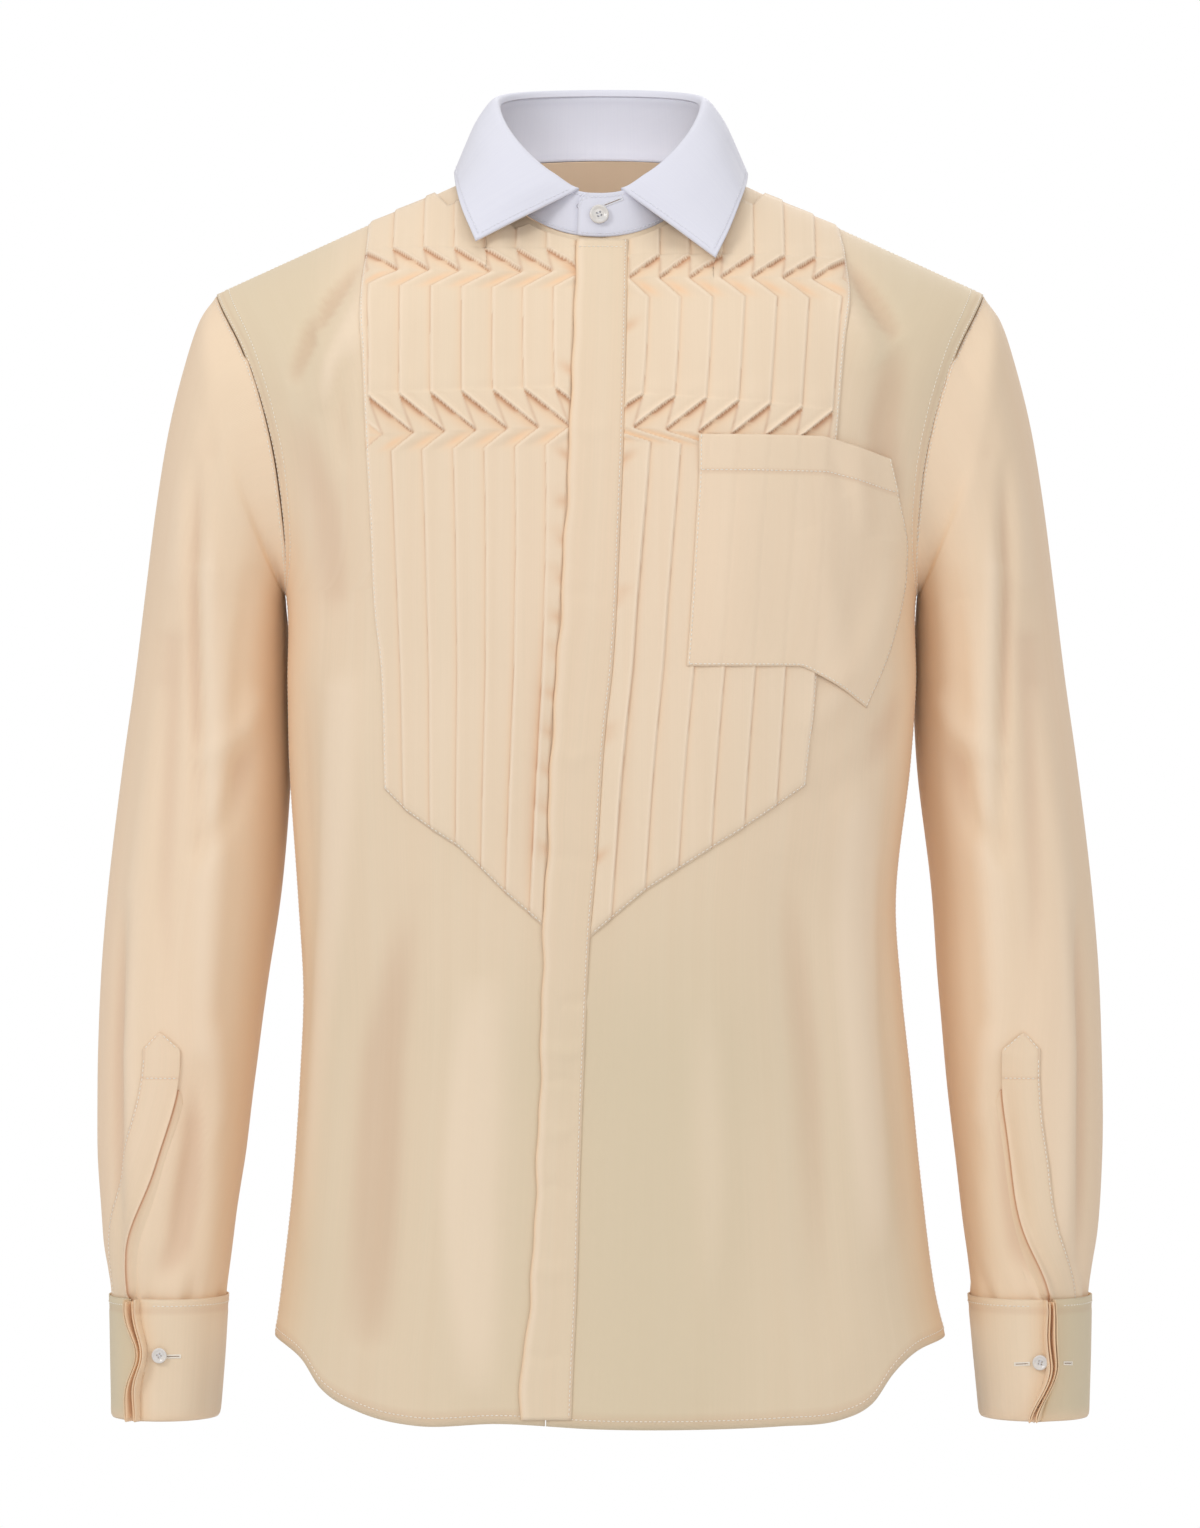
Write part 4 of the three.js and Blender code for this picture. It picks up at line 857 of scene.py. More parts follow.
def bibPlace(which):
    side = sides[which]

    def place(u, v):
        def acrossAt(z):
            outer, edge = bibEdgeX(which, z)
            return mixBetween(outer, edge - side * bib["tuck"], u[0])

        def topLine(x):
            drop = np.interp(np.abs(x), [0, 42, 50, 90, 98, 200], [4, 4, 14, 14, 1.5, 1.5])
            return topHeight(-1, x) - drop

        top = settled(np.full(u[0].shape, -20.0), acrossAt, topLine)
        bottom = settled(np.full(u[0].shape, -400.0), acrossAt, lambda x: linear(bibLower[which], x, 1))
        stops = bib["rowStops"]
        heights = [top, np.minimum(-38, top - 3), *[level + 0 * top for level in bib["rowLevels"]], bottom]
        row = v * stops[-1]
        z = np.zeros_like(u)
        for first, last, above, below in zip(stops, stops[1:], heights, heights[1:]):
            share = (row - first) / (last - first)
            z = np.where((share >= 0) & (share <= 1), mixBetween(above[None, :], below[None, :], share), z)
        outer, edge = bibEdgeX(which, z)
        x = mixBetween(outer, edge - side * bib["tuck"], u)
        height, dark, warm, light = pleatField(which, x, z)
        fromOuter = np.abs(x - outer)
        fromInner = side * (x - edge)
        fromLower = np.abs(z - bottom[None, :]) * 0.8
        calm = ramp(np.minimum(fromOuter, fromLower), 0.3, 3.0)
        under = 1 - ramp(fromInner, -0.8, 1.8)
        height = height * mixBetween(0.3, 1, calm) * (1 - 0.92 * under)
        pucker = np.zeros_like(x)
        for spot in puckerHeights[which]:
            pucker += bell(z - spot - fromInner * 0.5, 3.2) * bell(fromInner, 6.5)
        height = height - 0.9 * pucker * (1 - under)
        # Painted shade and warm glow in the puckers by the placket; the painted shade fades out where the bib
        # passes under the placket
        dark = np.clip(dark + 0.3 * pucker, 0, 1) * (1 - under)
        warm = np.clip(warm + 0.5 * pucker, 0, 1)
        rest = mixBetween(mixBetween(bib["edgeLift"], bib["lift"], calm), bib["underLift"], under)
        here, normals, lift = frontPlace(x, z, rest)
        # Painted highlight along the outer edge, where its stitching runs, over a small even lightening of
        # the whole bib
        edgeLight = bell(fromOuter - 1.6, 1.1)
        return {"points": here, "normals": normals, "lift": lift + height, "fold": dark * 0.72, "glow": warm,
                "light": light * calm + 0.9 * edgeLight + 0.2, "sage": sageZone(x, z) * 0.25,
                "flat": np.stack([x * 1.35, z], axis=-1)}

    return place


for which in sides:
    clothPiece("bib_" + which, bib["columns"], bib["rowStops"][-1], bibPlace(which), bib["wall"], bodyMiddle)
print("bibs made")


# Placket and pocket

placket = {
    "wall": 0.8, "freeLift": 2.7, "sewnLift": 1.9, "lowFree": 2.0, "lowSewn": 1.2, "columns": 28, "rows": 300,
    "top": -38.5, "foot": -729.5, "bibsFrom": -470, "bibsFull": -430,
}
placketStrokes = [
    ([(-24, -487), (-10, -485), (4, -489)], -0.9, 3.5),
    ([(-34, -512), (-20, -516), (-9, -512)], 1.0, 4.0),
    ([(-33, -532), (-20, -530), (-12, -535)], -0.8, 3.2),
    ([(-36, -560), (-24, -562), (-14, -557)], 0.8, 4.5),
    ([(-37, -596), (-26, -592), (-16, -598)], -0.7, 4.0),
    ([(-39, -640), (-28, -644), (-18, -640)], 0.8, 5.0),
    ([(-42, -690), (-32, -694), (-20, -690)], -0.7, 4.0),
    ([(-18, -150), (-6, -154), (8, -151)], 0.6, 5.0),
    ([(-22, -250), (-10, -247), (4, -252)], -0.6, 4.5),
    ([(-28, -340), (-16, -344), (-2, -340)], 0.7, 5.0),
    ([(-30, -402), (-18, -400), (-4, -405)], -0.7, 4.5),
]


def placketPlace(u, v):
    z = mixBetween(placket["top"], placket["foot"], v)
    sway = 0.5 * np.sin(z / 11) * ramp(-z, 120, 200) + 0.35 * np.sin(z / 5.3 + 1)
    x = mixBetween(readTable(placketEdges, z, 1) + sway, readTable(placketEdges, z, 2), u)
    aboveBibs = ramp(z, placket["bibsFrom"], placket["bibsFull"])
    free = mixBetween(placket["lowFree"], placket["freeLift"], aboveBibs)
    sewn = mixBetween(placket["lowSewn"], placket["sewnLift"], aboveBibs)
    here, normals, lift = frontPlace(x, z, mixBetween(free, sewn, ramp(u, 0.1, 0.95)))
    edges = 0.5 * bell(u, 0.03) + 0.35 * bell(1 - u, 0.03)
    seam = bell(u - 0.95, 0.022)
    turnedTop = 0.3 * ramp(z, placket["top"] - 7, placket["top"] - 5.5)
    lift = lift + strokeField(x, z, placketStrokes) - edges - 0.3 * seam + turnedTop
    # Painted warm glow and highlight along the free edge, painted shade along the sewn seam
    return {"points": here, "normals": normals, "lift": lift, "sage": sageZone(x, z) * 0.5,
            "glow": 0.5 * bell(u, 0.05), "fold": 0.2 * seam,
            "light": 0.5 * bell(u - 0.1, 0.06)}


clothPiece("placket", placket["columns"], placket["rows"], placketPlace, placket["wall"], bodyMiddle)

pocket = {
    "wall": 0.55, "lift": 3.5, "dropLift": 1.5, "mouth": 1.2, "columns": 92, "rows": 92, "hem": 21,
    "top": -156, "foot": -290, "width": 118,
}
pocketRows = [  # z, inner edge, outer edge, sag
    (-156, 57.2, 171.4, -12), (-178, 57.1, 176.8, -12), (-210, 55.2, 181.4, -11), (-240, 53.4, 177.6, -12),
    (-268, 51.6, 169, -16), (-290, 50, 156.3, -24),
]
pocketStrokes = [
    ([(146, -160), (152, -186), (156, -214)], 1.4, 6),
    ([(132, -158), (138, -176), (144, -190)], -1.0, 5),
    ([(120, -210), (136, -250), (142, -300)], 1.3, 10),
    ([(70, -200), (74, -250), (72, -285)], 0.8, 12),
    ([(100, -190), (104, -240), (102, -290)], -0.8, 12),
    ([(160, -200), (158, -240), (150, -292)], -1.0, 8),
]


def pocketPlace(u, v):
    level = mixBetween(pocket["top"], pocket["foot"], v)
    slump = readTable(pocketRows, level, 3) * np.clip((u - 0.62) / 0.38, 0, 1) ** 1.2
    x = mixBetween(readTable(pocketRows, level, 1), readTable(pocketRows, level, 2), u)
    z = level + slump
    rest = mixBetween(pocket["lift"], pocket["dropLift"], ramp(x, 130, 150))
    here, normals, lift = frontPlace(x, z, rest + pocket["mouth"] * bell(level - pocket["top"], 14))
    pleats = pleatField("left", x, z - 30)[0]  # the pleats behind show through a little
    fromHem = level - pocket["top"] + pocket["hem"]
    hemSeam = bell(fromHem, 0.9)
    hemFold = 0.5 * ramp(fromHem, -0.6, 0.4)
    crease = strokeField(x, z, pocketStrokes)
    height = pocket["top"] - pocket["foot"]
    rim = np.minimum(np.minimum(u, 1 - u) * pocket["width"], np.minimum(v, 1 - v) * height)
    edge = -0.6 * bell(rim, 1.6) * (v > 0.02)
    lift = lift + crease + hemFold - 0.4 * hemSeam + edge + 0.3 * pleats
    # Painted shade along the hem's seam; the light and glow here are even over the pocket
    return {"points": here, "normals": normals, "lift": lift, "light": 0.4,
            "sage": 0.12 + 0.1 * np.sin(x / 13), "fold": 0.2 * hemSeam, "glow": 0.1}


clothPiece("pocket", pocket["columns"], pocket["rows"], pocketPlace, pocket["wall"], bodyMiddle)
print("placket and pocket made")


# Sleeves, open at the wrist slit, with their pointed plackets and underlaps

sleeve = {
    "wall": 0.7, "columns": 116, "rows": 156, "seam": -1.1, "slitRing": 10, "slitGape": 6,
    "join": 0.05, "firstTurn": 5, "pucker": 0.3, "puckers": 38, "gather": 0.9, "gathers": 9,
    "fineGather": 0.5, "fineGathers": 16,
}
sleeveRings = [  # outer x and z, underside x right and left, underside z, depth, middle
    (240, -82, 188.9, 190.4, -245.8, 64, -3), (250, -112, 188.6, 190.1, -249, 68, 0),
    (259, -148, 188.4, 189.9, -255, 71, 5), (266.5, -192, 187.8, 189.6, -263, 73, 10),
    (273, -240, 187.2, 189.2, -278, 74, 16), (280, -295, 186.5, 189, -306, 74, 20),
    (288, -352, 186.4, 191.6, -354, 72, 20), (296, -420, 191.5, 199.5, -420, 69, 18),
    (300.5, -480, 200, 203.5, -478, 65, 14), (302, -536, 207, 208, -532, 61, 10),
    (301.5, -585, 213, 213.5, -582, 56, 6), (298, -630, 219.5, 218.5, -627, 49, 1),
    (292.4, -662, 224.2, 222.2, -661, 41.8, -3.3), (291.6, -671, 225, 223, -671, 40.8, -3.5),
]
sleeveTurn = {  # degrees from dead ahead to the slit line at each height
    "right": [(-671, -37), (-630, -28), (-585, -8), (-536, 6), (-480, 0)],
    "left": [(-671, -16), (-661, -13), (-630, 8), (-617, 13.5), (-585, 18.5), (-536, 21), (-480, 12)],
}
sleeveStrokes = {  # distance out from the body's middle and height, on the front and then on the back
    "front": [
        ([(283, -430), (287, -520), (286, -600), (284, -655)], -4.6, 4.5),
        ([(262, -300), (276, -420), (281, -520), (277, -640)], 2.6, 8),
        ([(236, -520), (240, -575), (250, -630), (266, -662)], -4.2, 9),
        ([(227, -500), (229, -575), (234, -640), (238, -662)], 3.2, 8),
        ([(240, -160), (241, -240), (239, -320), (236, -410)], -3.8, 4.5),
        ([(231, -165), (231, -245), (229, -330)], 2.6, 6),
        ([(252, -240), (256, -330), (258, -430), (252, -520)], -2.4, 9),
        ([(214, -250), (226, -340), (232, -450), (236, -560)], 3.2, 9),
        ([(206, -330), (222, -380), (246, -405)], -2.6, 8),
        ([(200, -300), (214, -330), (240, -345)], 2.6, 8),
        ([(232, -120), (246, -190), (256, -270)], 2.6, 11),
        ([(222, -110), (230, -160), (236, -230)], -2.4, 9),
        ([(206, -230), (214, -280), (218, -360)], -2.2, 7),
        ([(222, -560), (234, -600), (240, -650)], -1.6, 7),
    ],
    "back": [
        ([(280, -380), (290, -500), (290, -640)], -2.4, 9),
        ([(250, -260), (262, -400), (262, -560), (256, -650)], 2.6, 10),
        ([(222, -280), (232, -420), (236, -580)], -2.2, 10),
        ([(204, -320), (230, -366), (262, -380)], -2.0, 9),
        ([(202, -360), (228, -400), (262, -416)], 2.0, 9),
        ([(230, -130), (248, -220), (256, -300)], 2.0, 12),
    ],
}


def armholeSpots(sideName, turn):
    # The seam round an armhole: turn runs 0 to 20, from the shoulder down the front and up the back
    side = sides[sideName]
    turn = np.mod(turn, 20)
    ahead = turn <= 10
    share = easedRow(np.where(ahead, turn, 20 - turn) / 10)

    def acrossAt(z):
        return halfWidth(side, z) * np.sin(edgeAngle(z)) ** (2 / body["roundness"])

    top = settled(np.full(turn.shape, float(body["shoulder"])), acrossAt, ridgeHeight)
    z = mixBetween(top, body["underarm"], share)
    front = bodyPoint(-1, side * edgeAngle(z), z)
    behind = bodyPoint(1, side * edgeAngle(z), z)
    return np.where(ahead[..., None], front, behind)


def armholeRing(sideName, turn):
    side = sides[sideName]
    here = armholeSpots(sideName, turn)
    along = armholeSpots(sideName, turn + 0.05) - armholeSpots(sideName, turn - 0.05)
    middle = np.stack([0.3 * here[..., 0], 0 * here[..., 0], here[..., 2] - 10], axis=-1)
    away = unit(np.cross(along, unit(here - middle)))
    flip = (away @ np.array([side, 0, 0.6])) < 0
    away = np.where(flip[..., None], -away, away)
    return here + away * sleeve["seam"]


def ringSpot(sideName, row, beta):
    side = sides[sideName]
    outX, outZ, rightX, leftX, underZ, depth, middle = row
    underX = rightX if side < 0 else leftX
    x = side * ((outX + underX) / 2 + (outX - underX) / 2 * np.cos(beta))
    z = (outZ + underZ) / 2 + (outZ - underZ) / 2 * np.cos(beta)
    return np.stack([x, middle - depth * np.sin(beta), z], axis=-1)


def sleeveForm(sideName, u, ringShare):
    # u runs once round the arm from the slit line, ringShare from 0 at the armhole to the last ring
    twentieths = sleeve["firstTurn"] + 20 * u
    rings = [armholeRing(sideName, twentieths)]
    for row in sleeveRings:
        turn = readTable(sleeveTurn[sideName], (row[1] + row[4]) / 2, 1)
        rings.append(ringSpot(sideName, row, np.radians(turn + twentieths * 18)))
    stack = np.stack(rings)
    slopes = np.empty_like(stack)
    slopes[1:-1] = (stack[2:] - stack[:-2]) / 2
    slopes[0], slopes[-1] = stack[1] - stack[0], stack[-1] - stack[-2]
    spot = np.clip(np.floor(ringShare).astype(int), 0, len(rings) - 2)
    rows, columns = np.indices(u.shape)
    here, beyond = (spot, rows, columns), (spot + 1, rows, columns)
    return hermite((ringShare - spot)[..., None], stack[here], stack[beyond], slopes[here], slopes[beyond])


def sleeveCrease(points, normals):
    out, z = np.abs(points[..., 0]), points[..., 2]
    facing = -normals[..., 1]
    ahead = strokeField(out, z, sleeveStrokes["front"]) * ramp(facing, 0.1, 0.5)
    behind = strokeField(out, z, sleeveStrokes["back"]) * ramp(-facing, 0.1, 0.5)
    wander = 0.7 * np.sin(out / 13 + z / 90) * ramp(np.abs(facing), 0.1, 0.5)
    free = ramp(-z, 105, 190) * (1 - ramp(-z, 640, 668))
    return (ahead + behind + wander) * free


def sleevePlace(sideName):
    def place(u, v):
        share = len(sleeveRings) * (0.9 * v + 0.1 * v**2)
        slitRings = len(sleeveRings) - sleeve["slitRing"]
        points = sleeveForm(sideName, u, share)
        centre = points[:, :-1].mean(axis=1, keepdims=True)
        padded = np.concatenate([points[:, -2:-1], points, points[:, 1:2]], axis=1)
        across = padded[:, 2:] - padded[:, :-2]
        normals = outwardNormals(points, across, centre)
        gape = np.clip((share - sleeve["slitRing"]) / slitRings, 0, 1) ** 2 * sleeve["slitGape"]
        closeness = np.minimum(u, 1 - u)
        pull = bell(closeness, 0.035) * np.where(u < 0.5, 1, -1)
        points = points + unit(across) * (gape * pull)[..., None]
        turn = 2 * math.pi * u
        puckers = sleeve["pucker"] * np.sin(sleeve["puckers"] * turn) * bell(share, 0.25)
        gathers = (sleeve["gather"] * np.sin(sleeve["gathers"] * turn + 1.0)
                   + sleeve["fineGather"] * np.sin(sleeve["fineGathers"] * turn))
        cuffFolds = ramp(share, 12.0, 13.5) * gathers * (1 - ramp(share, 13.5, 14))
        inner = ramp(255 - np.abs(points[..., 0]), 30, 60) * ramp(-points[..., 2], 200, 300)
        crease = sleeveCrease(points, normals)
        # Painted warm glow and highlight on the inner side near the body, warm glow also where the sleeve
        # turns sideways and highlight on the creases' ridges, each over a constant part that only lifts the
        # tone; painted shade at the armhole seam and in the creases' hollows
        return {"points": points, "normals": normals, "lift": crease + puckers + cuffFolds,
                "glow": 0.2 + 0.3 * inner + 0.2 * ramp(np.abs(normals[..., 0]), 0.75, 1.0),
                "light": 0.35 + 0.3 * inner + 0.35 * ramp(crease, 0.5, 3),
                "sage": 0.14 * np.sin(points[..., 0] / 9 + 0.6) + 0.056,
                "fold": 0.12 * bell(share, 0.05) + 0.2 * ramp(-crease, 0.5, 3.4)}

    return place


def ringMiddle(points):
    return points.mean(axis=(0, 1), keepdims=True)


towers = {  # z, start and width across the arm from the slit line
    "rows": [(-506, 13, 1), (-516, 0.2, 26), (-540, 0.2, 26.5), (-562, 0.2, 26), (-585, 0.2, 26),
             (-608, 0.2, 25), (-632, 0.2, 24), (-672, 0.2, 21)],
    "lift": 1.6, "wall": 0.6, "columns": 30, "lines": 104, "cross": -533, "slitTop": -542,
}
underlaps = {"rows": [(-540, 3, -4), (-556, 3, -13), (-608, 3, -13), (-632, 3, -14), (-672, 3, -15)],
             "lift": 0.95, "wall": 0.6, "columns": 20, "lines": 76, "cross": -500, "slitTop": -542}


def armSpot(sideName, z, across, outward):
    # A place on the lower sleeve, measured round the arm from the slit line
    side = sides[sideName]
    underColumn = 2 if side < 0 else 3
    table = [(row[1], row[0], row[2], row[3], row[5], row[6]) for row in sleeveRings]
    outX, underX = readTable(table, z, 1), readTable(table, z, underColumn)
    depth, middle = readTable(table, z, 4), readTable(table, z, 5)
    radius = (outX - underX + depth * 2) / 4
    beta = np.radians(90 + readTable(sleeveTurn[sideName], z, 1)) - across / radius
    x = side * ((outX + underX) / 2 + (outX - underX) / 2 * np.cos(beta))
    y = middle - depth * np.sin(beta)
    centre = np.stack([side * (outX + underX) / 2, middle, z], axis=-1)
    here = np.stack([x, y, z + 0 * x], axis=-1)
    away = unit(here - centre)
    return here + away * (outward + sleeveCrease(here, away))[..., None], away


strip = {"pinch": 4.6, "lip": 0.7, "sway": 0.6, "seamIn": 1.6, "seamDark": 0.14, "betweenDark": 0.75}


def stripPlace(sideName, table):
    rows = table["rows"]

    def place(u, v):
        z = mixBetween(rows[0][0], rows[-1][0], v)
        width = linear(rows, z, 2)
        across = linear(rows, z, 1) + u * width
        edge = (1 - u) * np.abs(width)
        seam = bell(edge - strip["seamIn"], 0.7) + bell(z - table["cross"], 0.8)
        seam = seam * (width > 0)
        down = ramp(-z, -table["slitTop"], 661)
        lip = bell(across, 2.2) * ramp(-z, -table["slitTop"] - 8, -table["slitTop"] + 6)
        pinch = strip["pinch"] * down**2 * bell(across, 3.2) + strip["lip"] * lip
        pinch = pinch * (1 - 0.95 * ramp(-z, 660, 667))
        sway = strip["sway"] * np.sin(z / 15) * down * bell(across, 5) * (1 - ramp(-z, 655, 664))
        beyond = 0.5 * ramp(-across, 1.6, 3.2) + 1.2 * ramp(-across, 3, 8.5)
        flat = np.where(width > 0, -0.9 * bell(edge, 1.2), -beyond)
        between = bell(across + 0.3, 0.9) * (width < 0)
        points, away = armSpot(sideName, z, across + sway * 2, table["lift"] + sway + pinch + flat)
        # Painted shade along the seams and in the gap of the slit, and painted warm glow and highlight on the
        # slit's lip
        return {"points": points, "normals": away, "lift": -0.2 * seam,
                "fold": strip["seamDark"] * seam + strip["betweenDark"] * between,
                "glow": 0.06 + 0.3 * lip, "light": 0.6 * lip * (1 - between)}

    return place


for sideName in sides:
    clothPiece("sleeve_" + sideName, sleeve["columns"], sleeve["rows"], sleevePlace(sideName), sleeve["wall"],
               ringMiddle, joinDistance=sleeve["join"])
    for label, table in (("sleeve_placket_", towers), ("sleeve_underlap_", underlaps)):
        clothPiece(label + sideName, table["columns"], table["lines"], stripPlace(sideName, table),
                   table["wall"], ringMiddle)
print("sleeves made")


# Cuffs: one cloth folded back on itself, its two ends standing out together

cuff = {
    "wall": 0.8, "open": {"right": 62, "left": 78}, "flare": 11, "spread": {"right": 0.1, "left": -0.3},
    "columns": 168, "rows": 64, "button": -698, "swell": {"right": 6, "left": -1.5},
    "lean": {"right": 0, "left": 12}, "leanFrom": 702, "gap": 13, "wave": 1.1, "ripple": 0.8,
    "lip": 0.035, "bend": 0.055,  # shares of the cuff's length: where each lip and its bend end
}
cuffRings = [  # z, outer x, inner x right and left, depth, middle
    (-664.5, 291.2, 225.4, 223.6, 41.4, -3.5), (-700, 290.4, 228, 227, 40, -5),
    (-737, 289.6, 231.2, 230.4, 38.6, -6),
]
cuffFold = [  # how far out and how high, from the outer top edge down to the fold and up inside
    (0, 3.6, -664.5), (0.28, 3.7, -700), (0.49, 3.5, -734), (0.505, 3.1, -736.4), (0.52, 2.2, -737.2),
    (0.535, 1.4, -736), (0.55, 1.25, -733), (0.75, 1.25, -700), (1, 1.25, -665.8),
]


def cuffLoop(sideName, u, z):
    side = sides[sideName]
    half = (readTable(cuffRings, z, 1) - readTable(cuffRings, z, 2 if side < 0 else 3)) / 2
    centreX = side * (readTable(cuffRings, z, 1) - half)
    depth, middle = readTable(cuffRings, z, 4), readTable(cuffRings, z, 5)

    def spot(degrees, grow):
        beta = np.radians(degrees)
        x = centreX + side * (half + grow) * np.cos(beta)
        return np.stack([x, middle - (depth + grow) * np.sin(beta)], axis=-1)

    opening = cuff["open"][sideName]
    tip, root = spot(opening, cuff["flare"]), spot(opening, 2)
    along = unit(tip - root)
    inward = np.stack([along[..., 1], -along[..., 0]], axis=-1) * side
    spread = -inward * cuff["spread"][sideName]
    lip, first, last = cuff["lip"], cuff["bend"], 1 - cuff["bend"]
    turned = np.clip((u - first) / (last - first), 0, 1)
    circle = spot(opening - cuff["gap"] - (360 - 2 * cuff["gap"]) * turned, 0)
    startLip = mixBetween(tip + spread, root + spread, np.clip(u / lip, 0, 1)[..., None])
    endLip = mixBetween(root - spread, tip - spread, np.clip((u - 1 + lip) / lip, 0, 1)[..., None])
    bendIn = ramp(u, lip, first)[..., None]
    bendOut = ramp(u, last, 1 - lip)[..., None]
    path = np.where(u[..., None] < first, mixBetween(startLip, circle, bendIn),
                    np.where(u[..., None] > last, mixBetween(circle, endLip, bendOut), circle))
    return path, inward


def cuffPlace(sideName):
    side = sides[sideName]

    def place(u, v):
        out, z = linear(cuffFold, v, 1), linear(cuffFold, v, 2)
        path, inward = cuffLoop(sideName, u, z)
        along = unit(np.gradient(path, axis=1))
        away = np.stack([along[..., 1], -along[..., 0]], -1) * side
        lip = bell(np.minimum(u, 1 - u), 0.05)
        outerLayer = 1 - ramp(v, 0.45, 0.55)
        radial = cuff["wave"] * np.sin(z / 9.5 + (0 if side < 0 else 1.6)) * lip
        shift = cuff["swell"][sideName] * bell(z - cuff["button"], 15)
        shift = shift + cuff["lean"][sideName] * ramp(-z, cuff["leanFrom"], 740)
        shift = (shift + cuff["ripple"] * np.sin(z / 7)) * lip
        soft = (0.7 * np.sin(u * 23 + z / 60) + 0.4 * np.sin(u * 41 - z / 30)) * (1 - lip) * outerLayer
        points = np.stack([path[..., 0], path[..., 1], z + 0 * u], axis=-1)
        points[..., :2] += along * radial[..., None] + inward * shift[..., None]
        normals = np.stack([away[..., 0], away[..., 1], 0 * u], axis=-1)
        # Painted shade along the seam and, through the sage tone, on the side of the outer layer turned away
        # past the opening; painted warm glow inside the cuff and on its lips
        seam = bell(v - 0.055, 0.012) * outerLayer
        turnedAwayShade = (1 - ramp(u, 0.16, 0.3)) * outerLayer
        return {"points": points, "normals": normals, "lift": out + soft * 0.6 - 0.3 * seam,
                "fold": 0.16 * seam, "sage": 0.9 * turnedAwayShade + 0.05, "glow": 0.3 * (1 - outerLayer) + 0.3 * lip}

    return place


for sideName in sides:
    clothPiece("cuff_" + sideName, cuff["columns"], cuff["rows"], cuffPlace(sideName), cuff["wall"],
               ringMiddle)
print("cuffs made")


# Collar: a stand whose front ends lap, and a leaf turned down over it

collar = {
    "lean": 4, "underEnd": 12, "overEnd": -13, "lap": 2.3, "lapLong": 48, "corner": 9.0, "seam": 0.35,
    "standWall": 1.3, "leafWall": 1.4, "leafStart": 12, "clearance": 12,
    "standColumns": 190, "standRows": 22, "leafColumns": 190, "leafRows": 46,
}
standTop = [  # degrees from the front, height of the stand
    (-180, 38.5), (-90, 38), (-50, 33), (-20, 27), (0, 26), (20, 27), (50, 33), (90, 38), (180, 38.5),
]
leafEdge = [  # step along the leaf, x, y and z of its edge
    (0, -73.3, -66, -38.9), (1, -80.4, -50, -21), (2, -84.6, -32, -5), (3, -86, -12, 4.5),
    (4, -84.5, 12, 9.5), (5, -74, 42, 12.5), (6, -44, 68, 14.5), (7, 0, 77, 15), (8, 44, 68, 14.5),
    (9, 74.5, 42, 12),
    (10, 85.2, 12, 9), (11, 86.6, -12, 3.5), (12, 83.4, -34, -11), (13, 76.4, -54, -31), (14, 68, -70, -49.5),
]
leafShape = [  # step down the leaf, share of the way to its edge, how far out and up
    (0, 0, -0.9, -0.4), (1, 0, 0.7, 2.8), (2, 0.06, 3.6, 1.4), (3, 0.3, 4.4, 1.2), (4, 0.6, 2.6, 1.2),
    (5, 0.85, 1, 0.5), (6, 1, 0, 0),
]


def standHeight(angle):
    return readTable(standTop, np.mod(angle + 540, 360) - 180, 1)


def standSpot(angle, rise, outward):
    radians = np.radians(angle)
    x = body["neckHalf"] * np.sin(radians)
    ahead = np.cos(radians) >= 0
    depth = np.where(ahead, body["neckFront"], body["neckBack"])
    lean = 1 - collar["lean"] * rise / body["neckHalf"]
    neck = np.where(ahead, topHeight(-1, x), topHeight(1, x))
    return np.stack([x * lean + np.sin(radians) * outward, -(depth * lean + outward) * np.cos(radians),
                     neck + collar["seam"] + standHeight(angle) * rise], axis=-1)


def endAngle(x):
    return math.degrees(math.asin(x / body["neckHalf"]))


standStart, standFinish = endAngle(collar["underEnd"]), -360 + endAngle(collar["overEnd"])


def standPlace(u, v):
    angle = mixBetween(standStart, standFinish, u)
    left = np.abs(angle - standFinish)
    lap = collar["lap"] * np.clip(1 - left / collar["lapLong"], 0, 1) ** 0.6
    rise = 1 - v
    fromEnd = np.radians(left) * body["neckFront"]
    corner = collar["corner"]
    rounding = corner - np.sqrt(corner**2 - np.clip(corner - fromEnd, 0, corner) ** 2)
    rise = np.minimum(rise, 1 - rounding / standHeight(angle) * (rise > 0.3))
    seams = bell(v - 0.1, 0.03) + bell(v - 0.93, 0.03)
    # Painted shade in the seams' dips
    return {"points": standSpot(angle, rise, lap), "lift": -0.2 * seams, "fold": 0.15 * seams, "sage": 0.2}


def neckMiddle(points):
    return points * np.array([0, 0, 1])


clothPiece("collar_stand", collar["standColumns"], collar["standRows"], standPlace, collar["standWall"],
           neckMiddle, collarCloth, "collar_cloth")


